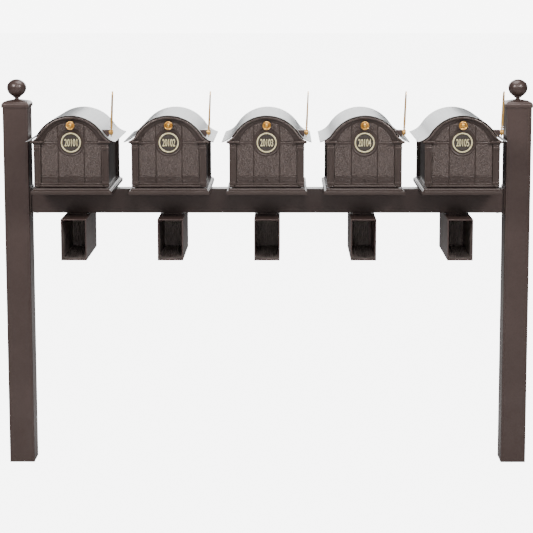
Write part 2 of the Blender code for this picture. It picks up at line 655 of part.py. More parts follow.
def flag_shape():
    """Flag about its axle, raised: axle stub, hub, tapered blade and pointed tail."""
    inner_end = LUG_FACE - FLAG_AXLE_LENGTH
    hub_end = HUB_FACE + FLAG_HUB_WIDTH
    chamfer = FLAG_HUB_RADIUS / 4
    profile = [(0, inner_end), (FLAG_AXLE_RADIUS, inner_end), (FLAG_AXLE_RADIUS, HUB_FACE)]
    profile += [(FLAG_HUB_RADIUS - chamfer, HUB_FACE), (FLAG_HUB_RADIUS, HUB_FACE + chamfer)]
    profile += [(FLAG_HUB_RADIUS, hub_end - chamfer), (FLAG_HUB_RADIUS - chamfer, hub_end), (0, hub_end)]
    hub = turned(profile, ROUND_SMALL, "X")
    middle = HUB_FACE + FLAG_HUB_WIDTH / 2
    lean = math.tan(math.radians(FLAG_LEAN))
    root = FLAG_HUB_RADIUS / 2

    def level(z, thickness, depth):
        x = middle + lean * z
        return (x - thickness / 2, x + thickness / 2, -depth / 2, depth / 2, z)

    neck_top = FLAG_HUB_RADIUS + FLAG_NECK_DEPTH
    full = FLAG_BLADE_DEPTH
    blade = tower([
        level(root, FLAG_NECK_THICKNESS, FLAG_NECK_DEPTH),
        level(neck_top, FLAG_NECK_THICKNESS, FLAG_NECK_DEPTH),
        level(neck_top + FLAG_NECK_DEPTH, FLAG_SHOULDER_THICKNESS, FLAG_SHOULDER_DEPTH),
        level(FLAG_REACH - full, FLAG_BLADE_THICKNESS, full),
        level(FLAG_REACH - FLAG_TIP_BEVEL, FLAG_BLADE_THICKNESS, full - FLAG_TIP_BEVEL),
        level(FLAG_REACH, FLAG_BLADE_THICKNESS, FLAG_TIP_DEPTH),
    ])
    tail = tower([
        level(-FLAG_TAIL, FLAG_TAIL_POINT, FLAG_TAIL_POINT),
        level(-root, FLAG_SHOULDER_THICKNESS, FLAG_TAIL_DEPTH),
    ])
    return worked(hub, [("UNION", blade), ("UNION", tail)])


# ---------------------------------------------------------------- newspaper box


def newspaper_box_shape():
    """Open-fronted box with a pad on top that bolts to the beam, its top at the origin's height."""
    half_x, half_y = NEWS_WIDTH / 2, NEWS_DEPTH / 2
    box = block((-half_x, half_x), (-half_y, half_y), (-NEWS_HEIGHT, 0))
    inside = block(
        (NEWS_WALL - half_x, half_x - NEWS_WALL),
        (-half_y - OVERLAP, half_y - NEWS_WALL),
        (NEWS_WALL - NEWS_HEIGHT, -NEWS_WALL),
    )
    pad_x, pad_y = NEWS_PAD_WIDTH / 2, NEWS_PAD_DEPTH / 2
    pad = block((-pad_x, pad_x), (-pad_y, pad_y), (-NEWS_WALL / 2, NEWS_DROP - TOUCH_GAP))
    return worked(box, [("DIFFERENCE", inside), ("UNION", pad)])


# ---------------------------------------------------------------- assembly


def mesh_of(shape, name, finish, smooth=None):
    """A mesh with its material; round shapes are shaded smooth below the given angle."""
    mesh = bpy.data.meshes.new(name)
    shape.to_mesh(mesh)
    shape.free()
    mesh.materials.append(get_material(finish))
    if smooth:
        mesh.shade_smooth()
        mesh.set_sharp_from_angle(angle=math.radians(smooth))
    return mesh


def place(name, mesh, location, parent=None):
    """A named object at a location, under a parent if one is given."""
    thing = bpy.data.objects.new(name, mesh)
    bpy.context.scene.collection.objects.link(thing)
    thing.location = location
    thing.parent = parent
    return thing


def place_empty(name, location, parent=None):
    """A named empty that carries pieces or marks a joint."""
    empty = place(name, None, location, parent)
    empty.empty_display_size = 0.05
    return empty


def build_frame():
    """Two posts with caps and finials, and the beam between them on its brackets."""
    post = mesh_of(post_shape(), "post", BRONZE)
    cap = mesh_of(cap_shape(), "post_cap", BRONZE)
    finial = mesh_of(finial_shape(), "finial", BRONZE, smooth=40)
    left_bracket = bracket_shape()
    right_bracket = mirrored(left_bracket.copy(), "X")
    brackets = {
        "left": mesh_of(left_bracket, "left_bracket", BRONZE),
        "right": mesh_of(right_bracket, "right_bracket", BRONZE),
    }
    inner_face = POST_X - POST_SIZE / 2 - TOUCH_GAP
    for side, sign in (("left", -1), ("right", 1)):
        x = sign * POST_X
        place(f"{side}_post", post, (x, POST_LINE_Y, 0))
        place(f"{side}_post_cap", cap, (x, POST_LINE_Y, CAP_BASE))
        place(f"{side}_finial", finial, (x, POST_LINE_Y, CAP_BASE + CAP_HEIGHT))
        place(f"{side}_beam_bracket", brackets[side], (sign * inner_face, POST_LINE_Y, BEAM_MIDDLE))
    place("beam", mesh_of(beam_shape(), "beam", BRONZE), (0, POST_LINE_Y, BEAM_MIDDLE))


def build_mailboxes():
    """Every mailbox with its newspaper box, each under an empty at its bottom centre."""
    hinge = Vector((0, HINGE_Y, HINGE_HEIGHT))
    axle = Vector((0, FLAG_Y, FLAG_HEIGHT))
    plaque_at = Vector((0, -PLAQUE_BACK, BOSS_HEIGHT)) - hinge
    knob_at = Vector((0, -KNOB_BACK, KNOB_HEIGHT)) - hinge
    body = mesh_of(body_shape(), "body", BRONZE)
    roof = mesh_of(roof_shape(), "roof", ROOF_SATIN, smooth=30)
    rear_panel = mesh_of(rear_panel_shape(), "rear_panel", BRONZE)
    door = mesh_of(moved_by(door_shape(), -hinge), "door", BRONZE)
    rod = mesh_of(rod_shape(), "hinge_rod", STEEL, smooth=40)
    plaque = mesh_of(plaque_shape(), "number_plaque", PLAQUE_FINISH, smooth=40)
    knob = mesh_of(knob_shape(), "knob", GOLD, smooth=40)
    lug = mesh_of(lug_shape(), "flag_lug", BRONZE)
    flag = mesh_of(flag_shape(), "flag", GOLD)
    newspaper_box = mesh_of(newspaper_box_shape(), "newspaper_box", BRONZE)
    under_beam = BEAM_TOP - BEAM_HEIGHT - NEWS_DROP - BOX_BOTTOM
    for number in range(1, BOX_COUNT + 1):
        x = (number - (BOX_COUNT + 1) / 2) * BOX_PITCH
        spot = place_empty(f"mailbox_{number}_spot", (x, POST_LINE_Y, BOX_BOTTOM))
        name = f"mailbox_{number}"
        place(f"{name}_body", body, (0, 0, 0), spot)
        place(f"{name}_roof", roof, (0, 0, 0), spot)
        place(f"{name}_rear_panel", rear_panel, (0, 0, 0), spot)
        door_piece = place(f"{name}_door", door, hinge, spot)
        place(f"{name}_hinge_rod", rod, hinge, spot)
        place(f"{name}_number_plaque", plaque, plaque_at, door_piece)
        place(f"{name}_knob", knob, knob_at, door_piece)
        place(f"{name}_flag_lug", lug, (0, 0, 0), spot)
        place(f"{name}_flag", flag, axle, spot)
        place(f"newspaper_box_{number}", newspaper_box, (0, 0, under_beam), spot)


def main():
    """Clear the scene and build the whole unit."""
    for thing in list(bpy.data.objects):
        bpy.data.objects.remove(thing, do_unlink=True)
    build_frame()
    build_mailboxes()


if __name__ == "__main__":
    main()
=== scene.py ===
"""Looks of the cluster mailbox unit: five cast mailboxes on one beam between two capped posts.

Metres, +Z up, the doors face -Y.  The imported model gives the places; each mailbox is shaped once
about its own bottom centre and then set down at every place along the beam.
"""

import logging
import math
from collections.abc import Callable, Sequence
from dataclasses import dataclass, field
from enum import Enum

import bmesh
import bpy
from mathutils import Matrix, Vector


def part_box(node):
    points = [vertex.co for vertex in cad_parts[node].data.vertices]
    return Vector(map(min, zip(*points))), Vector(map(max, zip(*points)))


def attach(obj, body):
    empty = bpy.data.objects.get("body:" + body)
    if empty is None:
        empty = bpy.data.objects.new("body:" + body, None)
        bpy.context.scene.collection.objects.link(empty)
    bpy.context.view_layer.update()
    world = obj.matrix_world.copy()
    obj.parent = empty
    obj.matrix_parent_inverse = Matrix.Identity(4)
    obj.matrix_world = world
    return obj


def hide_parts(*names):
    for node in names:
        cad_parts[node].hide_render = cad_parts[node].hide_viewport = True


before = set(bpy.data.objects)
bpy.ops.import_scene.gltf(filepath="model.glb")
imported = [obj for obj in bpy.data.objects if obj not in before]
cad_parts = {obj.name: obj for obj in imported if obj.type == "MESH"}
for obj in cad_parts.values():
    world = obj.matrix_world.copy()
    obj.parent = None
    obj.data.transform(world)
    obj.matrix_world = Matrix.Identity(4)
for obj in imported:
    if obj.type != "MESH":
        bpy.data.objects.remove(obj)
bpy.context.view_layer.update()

log = logging.getLogger("mailbox_unit")

Point = tuple[float, float]
Span = tuple[float, float]
Colour = tuple[float, float, float]
Level = tuple[float, float, float, float, float]

STAND = "stand"
MILLIMETRE = 0.001
SOFT_EDGE = 0.0008          # usual rounding of a cast edge
FACET_ANGLE = 20.0          # degrees; flatter edges are shaded smooth
JOIN = 0.0006               # how far shapes of one casting run into each other


class Turn(Enum):
    """The axis that a shape is turned or extruded along."""

    X = "X"
    Y = "Y"
    Z = "Z"


class Slot(Enum):
    """The record's material slots."""

    BRONZE = "bronze_paint"
    ROOF = "roof_satin"
    GOLD = "gold_finish"
    PLAQUE = "plaque_finish"
    STEEL = "rod_steel"


# ---------------------------------------------------------------- outlines


def arc(centre: Point, radius: float, first: float, last: float, steps: int) -> list[Point]:
    """Points on a circle.

    Args:
        centre: Middle of the circle.
        radius: Its radius.
        first: Angle of the first point, degrees.
        last: Angle of the last point, degrees.
        steps: Steps between them.

    Returns:
        The points, both ends included.
    """
    turns = [math.radians(first + (last - first) * step / steps) for step in range(steps + 1)]
    return [(centre[0] + radius * math.cos(a), centre[1] + radius * math.sin(a)) for a in turns]


def rounded_rectangle(half_x: float, half_y: float, radius: float, steps: int = 6) -> list[Point]:
    """Outline of a rectangle about the origin with rounded corners, counter-clockwise.

    Args:
        half_x: Half its width.
        half_y: Half its height.
        radius: Radius of the corners.
        steps: Steps round each corner.

    Returns:
        The points.
    """
    points: list[Point] = []
    for start, x, y in ((0, 1, 1), (90, -1, 1), (180, -1, -1), (270, 1, -1)):
        centre = (x * (half_x - radius), y * (half_y - radius))
        points += arc(centre, radius, start, start + 90, steps)
    return points


# ---------------------------------------------------------------- shapes


class Form:
    """A shape being made with bmesh operators. It may hold several closed shells."""

    def __init__(self) -> None:
        """Starts empty, with a layer that marks the edges for wear and painted highlights."""
        self.mesh = bmesh.new()
        self.mesh.verts.layers.float.new("wear")

    @classmethod
    def block(cls, x: Span, y: Span, z: Span) -> "Form":
        """A closed box between three pairs of limits.

        Args:
            x: Limits along X.
            y: Limits along Y.
            z: Limits along Z.

        Returns:
            The box.
        """
        form = cls()
        low, high = Vector((x[0], y[0], z[0])), Vector((x[1], y[1], z[1]))
        bmesh.ops.create_cube(form.mesh, size=1.0)
        bmesh.ops.scale(form.mesh, vec=high - low, verts=form.mesh.verts)
        return form.moved((low + high) / 2)

    @classmethod
    def prism(cls, outline: Sequence[Point], span: Span, axis: Turn = Turn.Y) -> "Form":
        """A flat outline pushed along an axis.

        Args:
            outline: (x, z) pairs for axis Y, (y, z) for X and (x, y) for Z.
            span: Where the push starts and ends.
            axis: The axis of the push.

        Returns:
            The closed shape.
        """
        form = cls()
        spots: dict[Turn, Callable[[float, float], tuple[float, float, float]]] = {
            Turn.X: lambda a, b: (span[0], a, b),
            Turn.Y: lambda a, b: (a, span[0], b),
            Turn.Z: lambda a, b: (a, b, span[0]),
        }
        face = form.mesh.faces.new([form.mesh.verts.new(spots[axis](a, b)) for a, b in outline])
        grown = bmesh.ops.extrude_face_region(form.mesh, geom=[face])
        moved = [item for item in grown["geom"] if isinstance(item, bmesh.types.BMVert)]
        step = Vector((axis is Turn.X, axis is Turn.Y, axis is Turn.Z)) * (span[1] - span[0])
        bmesh.ops.translate(form.mesh, vec=step, verts=moved)
        return form.faced()

    @classmethod
    def ribbon(cls, first: Sequence[Point], second: Sequence[Point], span: Span) -> "Form":
        """The strip between two lines of (x, z) pairs, equally many, pushed along Y.

        Args:
            first: One line.
            second: The other line.
            span: Where the push starts and ends.

        Returns:
            The closed shape.
        """
        form = cls()
        for line in (first, second):
            verts = [form.mesh.verts.new((x, span[0], z)) for x, z in line]
            for pair in zip(verts, verts[1:]):
                form.mesh.edges.new(pair)
        faces = bmesh.ops.bridge_loops(form.mesh, edges=form.mesh.edges[:])["faces"]
        grown = bmesh.ops.extrude_face_region(form.mesh, geom=faces)
        moved = [item for item in grown["geom"] if isinstance(item, bmesh.types.BMVert)]
        bmesh.ops.translate(form.mesh, vec=(0, span[1] - span[0], 0), verts=moved)
        return form.faced()

    @classmethod
    def pipe(cls, outline: Sequence[Point], wall: float, span: Span, axis: Turn) -> "Form":
        """A tube with the given outside, open at both ends.

        Args:
            outline: The outside, in pairs as for a prism.
            wall: Thickness of the wall.
            span: Where the tube starts and ends.
            axis: The tube's axis.

        Returns:
            The tube.
        """
        form = cls.prism(outline, span, axis)
        ends = sorted(form.mesh.faces, key=lambda face: len(face.verts))[-2:]
        loops: list[bmesh.types.BMEdge] = []
        for end in ends:
            bmesh.ops.inset_region(form.mesh, faces=[end], thickness=wall, use_even_offset=True)
            loops += list(end.edges)
        bmesh.ops.delete(form.mesh, geom=ends, context="FACES_ONLY")
        bmesh.ops.bridge_loops(form.mesh, edges=loops)
        return form.faced()

    @classmethod
    def tower(cls, levels: Sequence[Level]) -> "Form":
        """A shape that rises or sinks through rectangles (x0, x1, y0, y1, z), closed at both ends.

        Args:
            levels: The rectangles, in the order that the shape passes through them.

        Returns:
            The closed shape.
        """
        form = cls()
        x0, x1, y0, y1, z = levels[0]
        corners = ((x0, y0, z), (x1, y0, z), (x1, y1, z), (x0, y1, z))
        top = form.mesh.faces.new([form.mesh.verts.new(corner) for corner in corners])
        middle = ((x0 + x1) / 2, (y0 + y1) / 2)
        for count, (x0, x1, y0, y1, z) in enumerate(levels[1:]):
            grown = bmesh.ops.extrude_face_region(form.mesh, geom=[top])
            if count:
                bmesh.ops.delete(form.mesh, geom=[top], context="FACES_ONLY")
            top = next(item for item in grown["geom"] if isinstance(item, bmesh.types.BMFace))
            for vert in top.verts:
                vert.co.x = x1 if vert.co.x > middle[0] else x0
                vert.co.y = y1 if vert.co.y > middle[1] else y0
                vert.co.z = z
            middle = ((x0 + x1) / 2, (y0 + y1) / 2)
        return form.faced()

    @classmethod
    def turned(cls, profile: Sequence[Point], sides: int, axis: Turn = Turn.Z) -> "Form":
        """A round shape from (radius, along) points, spun about an axis.

        Args:
            profile: The points.
            sides: Steps of the spin.
            axis: The axis of the spin.

        Returns:
            The round shape.
        """
        form = cls()
        verts = [form.mesh.verts.new((radius, 0, along)) for radius, along in profile]
        edges = [form.mesh.edges.new(pair) for pair in zip(verts, verts[1:])]
        bmesh.ops.spin(
            form.mesh, geom=verts + edges, cent=(0, 0, 0), axis=(0, 0, 1), dvec=(0, 0, 0),
            angle=math.tau, steps=sides, use_merge=True, use_duplicate=False,
        )
        bmesh.ops.remove_doubles(form.mesh, verts=form.mesh.verts, dist=1e-7)
        if axis is Turn.X:
            form.turn(90, Turn.Y)
        if axis is Turn.Y:
            form.turn(-90, Turn.X)
        return form.faced()

    @classmethod
    def rod(cls, radius: float, span: Span, sides: int, axis: Turn) -> "Form":
        """A plain closed cylinder along an axis."""
        return cls.turned([(0, span[0]), (radius, span[0]), (radius, span[1]), (0, span[1])], sides, axis)

    @classmethod
    def wire(cls, route: Sequence[Vector], radius: float, taper: Callable[[float], float]) -> "Form":
        """A round strand along a route, closed at its ends.

        Args:
            route: Points that it passes through.
            radius: Radius at full thickness.
            taper: Share of the radius at each share of the length.

        Returns:
            The strand.
        """
        curve = bpy.data.curves.new("strand", "CURVE")
        curve.dimensions = "3D"
        curve.bevel_depth = radius
        curve.bevel_resolution = 1
        curve.use_fill_caps = True
        spline = curve.splines.new("POLY")
        spline.points.add(len(route) - 1)
        for count, (point, place) in enumerate(zip(spline.points, route)):
            point.co = (*place, 1.0)
            point.radius = taper(count / (len(route) - 1))
        return cls.from_curve(curve)

    @classmethod
    def lettering(cls, text: str, width: float, height: float, thickness: float, weight: float) -> "Form":
        """Upright characters that face -Y, centred on the origin, their backs at y = 0.

        Args:
            text: The characters.
            width: Overall width.
            height: Overall height.
            thickness: How far they stand out.
            weight: How much their strokes are swollen.

        Returns:
            The characters.
        """
        curve = bpy.data.curves.new("characters", "FONT")
        curve.body = text
        curve.offset = weight
        curve.extrude = 0.5
        curve.resolution_u = 4
        form = cls.from_curve(curve)
        points = [vert.co.copy() for vert in form.mesh.verts]
        low = Vector(map(min, *points))
        high = Vector(map(max, *points))
        size = high - low
        bmesh.ops.translate(form.mesh, vec=-(low + high) / 2, verts=form.mesh.verts)
        scale = Vector((width / size.x, height / size.y, thickness / size.z))
        bmesh.ops.scale(form.mesh, vec=scale, verts=form.mesh.verts)
        form.turn(90, Turn.X)
        return form.moved((0, -thickness / 2, 0))

    @classmethod
    def from_curve(cls, curve: bpy.types.Curve) -> "Form":
        """The mesh of a curve or of text, which is then removed.

        Args:
            curve: The curve or text.

        Returns:
            Its mesh as a shape.
        """
        thing = bpy.data.objects.new("curve", curve)
        bpy.context.scene.collection.objects.link(thing)
        seen = thing.evaluated_get(bpy.context.evaluated_depsgraph_get())
        mesh = bpy.data.meshes.new_from_object(seen)
        form = cls()
        form.mesh.from_mesh(mesh)
        bmesh.ops.remove_doubles(form.mesh, verts=form.mesh.verts, dist=1e-6)
        bpy.data.objects.remove(thing)
        bpy.data.curves.remove(curve)
        bpy.data.meshes.remove(mesh)
        return form.faced()

    def faced(self) -> "Form":
        """Turns every face outwards."""
        bmesh.ops.recalc_face_normals(self.mesh, faces=self.mesh.faces)
        return self

    def turn(self, degrees: float, axis: Turn) -> "Form":
        """Turns the shape about an axis through the origin.

        Args:
            degrees: The angle.
            axis: The axis.

        Returns:
            This shape.
        """
        turn = Matrix.Rotation(math.radians(degrees), 3, axis.value)
        bmesh.ops.rotate(self.mesh, matrix=turn, verts=self.mesh.verts)
        return self

    def moved(self, offset: Sequence[float]) -> "Form":
        """Moves the shape."""
        bmesh.ops.translate(self.mesh, vec=Vector(offset), verts=self.mesh.verts)
        return self

    def scaled(self, x: float, y: float, z: float) -> "Form":
        """Scales the shape about the origin."""
        bmesh.ops.scale(self.mesh, vec=(x, y, z), verts=self.mesh.verts)
        return self

    def mirrored(self, axis: Turn) -> "Form":
        """Mirrors the shape through the origin.

        Args:
            axis: The axis along which it is flipped.

        Returns:
            This shape.
        """
        signs = [-1 if axis is turn else 1 for turn in Turn]
        bmesh.ops.scale(self.mesh, vec=signs, verts=self.mesh.verts)
        bmesh.ops.reverse_faces(self.mesh, faces=self.mesh.faces)
        return self

    def softened(self, width: float = SOFT_EDGE, above: float = 30.0) -> "Form":
        """Rounds the edges sharper than an angle in degrees, and marks their ridges for wear and painted
        highlights.

        Args:
            width: Width of the rounding.
            above: The angle.

        Returns:
            This shape.
        """
        self.mesh.normal_update()
        limit = math.radians(above)
        edges = [edge for edge in self.mesh.edges if edge.calc_face_angle(0.0) > limit]
        made = bmesh.ops.bevel(
            self.mesh, geom=edges, offset=width, offset_type="OFFSET", segments=2, profile=0.5,
            affect="EDGES", clamp_overlap=True, material=-1,
        )
        fresh = set(made["faces"])
        # The ridges marked here are painted paler later: partly wear, partly painted highlight.
        wear = self.mesh.verts.layers.float["wear"]
        for vert in self.mesh.verts:
            if vert.link_faces and all(face in fresh for face in vert.link_faces):
                vert[wear] = 1.0
        return self

    def finish_with(self, index: int, chosen: Callable[[Vector, Vector], bool] | None = None) -> "Form":
        """Gives faces a finish by its number, all of them or those chosen by their normal and middle.

        Args:
            index: The finish's number.
            chosen: Whether a face is chosen; all are without it.

        Returns:
            This shape.
        """
        self.mesh.normal_update()
        for face in self.mesh.faces:
            if chosen is None or chosen(face.normal, face.calc_center_median()):
                face.material_index = index
        return self

    def copy(self) -> "Form":
        """A second shape like this one.

        Returns:
            The copy.
        """
        twin = Form()
        twin.mesh.free()
        twin.mesh = self.mesh.copy()
        return twin

    def join(self, *others: "Form") -> "Form":
        """Takes in other shapes, which are used up.

        Args:
            others: The shapes to take in.

        Returns:
            This shape.
        """
        for other in others:
            mesh = bpy.data.meshes.new("part")
            other.mesh.to_mesh(mesh)
            other.mesh.free()
            self.mesh.from_mesh(mesh)
            bpy.data.meshes.remove(mesh)
        return self

    def both_sides(self) -> "Form":
        """The shape and its mirror image in X."""
        return self.join(self.copy().mirrored(Turn.X))


def fixed(
    form: Form, name: str, body: str, finishes: Sequence["Finish"], *stands_for: str,
) -> bpy.types.Object:
    """Makes a finished piece that rides on a body.

    Args:
        form: Its shape, which is used up.
        name: Its name.
        body: The body that it moves with.
        finishes: Its finishes, in the order of its faces' numbers.
        stands_for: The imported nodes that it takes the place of.

    Returns:
        The piece.
    """
    mesh = bpy.data.meshes.new(name)
    form.mesh.to_mesh(mesh)
    form.mesh.free()
    mesh.shade_smooth()
    mesh.set_sharp_from_angle(angle=math.radians(FACET_ANGLE))
    for finish in finishes:
        mesh.materials.append(finish.material())
    piece = bpy.data.objects.new(name, mesh)
    bpy.context.scene.collection.objects.link(piece)
    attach(piece, body)
    if stands_for:
        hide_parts(*stands_for)
    log.info("%s: %d faces on %s", name, len(mesh.polygons), body)
    return piece


# ---------------------------------------------------------------- shader maths


class Value:
    """One number of a shader, with arithmetic that adds Math nodes."""

    def __init__(self, graph: "Graph", socket: bpy.types.NodeSocket) -> None:
        """Wraps an output socket."""
        self.graph = graph
        self.socket = socket

    def worked(self, operation: str, first: "Value | float", second: "Value | float") -> "Value":
        """The result of a Math node."""
        node = self.graph.node("ShaderNodeMath", {"operation": operation}, {0: first, 1: second})
        return Value(self.graph, node.outputs[0])

    def __add__(self, other: "Value | float") -> "Value":
        """Sum."""
        return self.worked("ADD", self, other)

    def __radd__(self, other: float) -> "Value":
        """Sum with a number on the left."""
        return self.worked("ADD", other, self)

    def __sub__(self, other: "Value | float") -> "Value":
        """Difference."""
        return self.worked("SUBTRACT", self, other)

    def __rsub__(self, other: float) -> "Value":
        """Difference from a number."""
        return self.worked("SUBTRACT", other, self)

    def __mul__(self, other: "Value | float") -> "Value":
        """Product."""
        return self.worked("MULTIPLY", self, other)

    def __rmul__(self, other: float) -> "Value":
        """Product with a number on the left."""
        return self.worked("MULTIPLY", other, self)

    def over(self, low: float, high: float) -> "Value":
        """0 below low, 1 above high and a smooth rise between.

        Args:
            low: Where the rise starts.
            high: Where it ends.

        Returns:
            The share, from 0 to 1.
        """
        inputs = {"Value": self, "From Min": low, "From Max": high}
        node = self.graph.node("ShaderNodeMapRange", {"interpolation_type": "SMOOTHSTEP"}, inputs)
        return Value(self.graph, node.outputs[0])


class Graph:
    """A material's nodes."""

    def __init__(self, name: str) -> None:
        """Makes an empty material.

        Args:
            name: The material's name.
        """
        self.material = bpy.data.materials.new(name)
        self.material.use_nodes = True
        self.tree = self.material.node_tree
        self.tree.nodes.clear()
        self.place = self.node("ShaderNodeTexCoord", {}, {}).outputs["Object"]

    def node(self, kind: str, settings: dict[str, object], inputs: dict[int | str, object]) -> bpy.types.Node:
        """A node of any kind.

        Args:
            kind: Its type.
            settings: Its own settings.
            inputs: Its sockets' values or links, by name or number.

        Returns:
            The node.
        """
        made = self.tree.nodes.new(kind)
        for key, value in settings.items():
            setattr(made, key, value)
        for key, value in inputs.items():
            source = value.socket if isinstance(value, Value) else value
            if isinstance(source, bpy.types.NodeSocket):
                self.tree.links.new(source, made.inputs[key])
            else:
                made.inputs[key].default_value = source
        return made

    def noise(self, scale: float, detail: float = 2.0, stretch: Sequence[float] = (1, 1, 1)) -> Value:
        """Cloudy noise of so many lumps to the metre, squeezed along the axes by stretch.

        Args:
            scale: Lumps to the metre.
            detail: Levels of finer lumps.
            stretch: Factor along each axis.

        Returns:
            The noise, from 0 to 1.
        """
        inputs = {"Vector": self.place, "Scale": tuple(stretch)}
        placed = self.node("ShaderNodeMapping", {"vector_type": "POINT"}, inputs)
        inputs = {"Vector": placed.outputs[0], "Scale": scale, "Detail": detail, "Roughness": 0.55}
        return Value(self, self.node("ShaderNodeTexNoise", {}, inputs).outputs["Fac"])

    def pits(self, scale: float) -> Value:
        """Distance to the nearest of many scattered points, for a stippled casting."""
        inputs = {"Vector": self.place, "Scale": scale, "Randomness": 1.0}
        return Value(self, self.node("ShaderNodeTexVoronoi", {"feature": "F1"}, inputs).outputs["Distance"])

    def wear(self) -> Value:
        """1 along the rounded edges, from the mesh: the mask for wear and painted highlights."""
        return Value(self, self.node("ShaderNodeAttribute", {"attribute_name": "wear"}, {}).outputs["Fac"])

    def height(self) -> Value:
        """Height above the ground, metres."""
        return Value(self, self.node("ShaderNodeSeparateXYZ", {}, {0: self.place}).outputs["Z"])

    def blend(self, share: Value, first: object, second: object) -> bpy.types.NodeSocket:
        """A colour between two, each a colour or a link.

        Args:
            share: 0 for the first, 1 for the second.
            first: The first colour.
            second: The second colour.

        Returns:
            The blended colour.
        """
        ends = [(*end, 1.0) if isinstance(end, tuple) else end for end in (first, second)]
        node = self.node("ShaderNodeMix", {"data_type": "RGBA"}, {0: share, 6: ends[0], 7: ends[1]})
        return node.outputs[2]

    def relief(self, height: Value, depth: float, strength: float) -> bpy.types.NodeSocket:
        """A bumped normal of so many metres of depth."""
        inputs = {"Height": height, "Distance": depth, "Strength": strength}
        return self.node("ShaderNodeBump", {}, inputs).outputs["Normal"]

    def surface(
        self, tone: bpy.types.NodeSocket, roughness: Value, metallic: float,
        normal: bpy.types.NodeSocket, specular: float = 0.5,
    ) -> bpy.types.Material:
        """Ends the material in a Principled shader.

        Args:
            tone: Base colour.
            roughness: Roughness.
            metallic: Share of metal.
            normal: Bumped normal.
            specular: Level of the coat's own reflection.

        Returns:
            The finished material.
        """
        shader = self.node("ShaderNodeBsdfPrincipled", {}, {
            "Base Color": tone, "Roughness": roughness, "Metallic": metallic, "Normal": normal,
            "Specular IOR Level": specular,
        })
        self.node("ShaderNodeOutputMaterial", {}, {"Surface": shader.outputs[0]})
        return self.material


# ---------------------------------------------------------------- finishes


@dataclass(frozen=True)
class Finish:
    """A finish that pieces share."""

    name: str
    slot: Slot

    def material(self) -> bpy.types.Material:
        """The finish's material, made once."""
        return bpy.data.materials.get(self.name) or self.mixed(Graph(self.name))

    def mixed(self, graph: Graph) -> bpy.types.Material:
        """Builds the material's nodes."""
        raise NotImplementedError


@dataclass(frozen=True)
class PowderCoat(Finish):
    """Bronze powder coat with a fine orange peel, cloudy tone and edges painted paler for wear and
    highlights.
    """

    deep: Colour = (0.047, 0.029, 0.025)
    pale: Colour = (0.058, 0.037, 0.032)
    # paler tone of the edges, worn and with painted highlights, and of the stipple's painted highlights
    edge: Colour = (0.135, 0.096, 0.085)
    dust: Colour = (0.100, 0.078, 0.070)
    gloss: float = 0.34
    peel: float = 0.00006
    peel_scale: float = 700.0
    stipple: float = 0.0
    stipple_scale: float = 330.0

    def mixed(self, graph: Graph) -> bpy.types.Material:
        """Cloudy tone, dust low down, edges painted paler for wear and highlights, peel, and a stippled
        relief where it is cast, its peaks painted paler as highlights.

        Args:
            graph: The nodes of a new material.

        Returns:
            The material.
        """
        cloud = graph.noise(5.0, 3.0)
        grain = graph.noise(140.0, 2.0)
        tone = graph.blend((cloud * 0.7 + grain * 0.5).over(0.35, 0.85), self.deep, self.pale)
        low = (1 - graph.height().over(0.0, 0.55)) * graph.noise(9.0, 4.0).over(0.35, 0.75) * 0.22
        tone = graph.blend(low, tone, self.dust)
        # Edges painted toward the paler tone: partly wear, partly painted highlight.
        rubbed_and_highlight = graph.wear() * graph.noise(60.0, 3.0).over(0.22, 0.70) * 0.80
        bumps = graph.noise(self.peel_scale, 1.0)
        if self.stipple:
            pits = graph.pits(self.stipple_scale).over(0.05, 0.75)
            rough_cast = graph.noise(self.stipple_scale * 0.4, 3.0)
            high = (pits * 0.5 + rough_cast * 1.1).over(0.55, 1.15)
            # The stipple's peaks take the paler tone: painted highlights on the cast texture.
            tone = graph.blend(high * 0.60, tone, self.edge)
            bumps = bumps * 0.15 + high
        tone = graph.blend(rubbed_and_highlight, tone, self.edge)
        gloss = self.gloss + cloud * 0.10 - rubbed_and_highlight * 0.06
        normal = graph.relief(bumps, max(self.peel, self.stipple), 1.0)
        return graph.surface(tone, gloss, 0.30, normal, 0.55)


@dataclass(frozen=True)
class RoofSatin(Finish):
    """Pale grey top of the roofs, a painted reflection of the bright studio on bronze paint, with faint
    rolling marks along the sheet.
    """

    # pale grey standing in for the studio's reflection on the bronze roof: painted reflection
    pale: Colour = (0.315, 0.324, 0.327)
    deep: Colour = (0.205, 0.213, 0.217)
    edge: Colour = (0.520, 0.525, 0.520)

    def mixed(self, graph: Graph) -> bpy.types.Material:
        """Soft clouds, long rolling marks, slight orange peel and edges painted paler for highlights and
        wear.

        Args:
            graph: The nodes of a new material.

        Returns:
            The material.
        """
        cloud = graph.noise(6.0, 3.0)
        marks = graph.noise(90.0, 3.0, (1.0, 0.04, 1.0))
        tone = graph.blend((cloud * 0.6 + marks * 0.5).over(0.30, 0.85), self.deep, self.pale)
        # Edges painted toward a paler grey: painted highlights, partly wear.
        tone = graph.blend(graph.wear() * 0.5, tone, self.edge)
        normal = graph.relief(marks * 0.5 + graph.noise(650.0, 1.0) * 0.5, 0.00008, 1.0)
        return graph.surface(tone, 0.34 + cloud * 0.12, 0.25, normal)


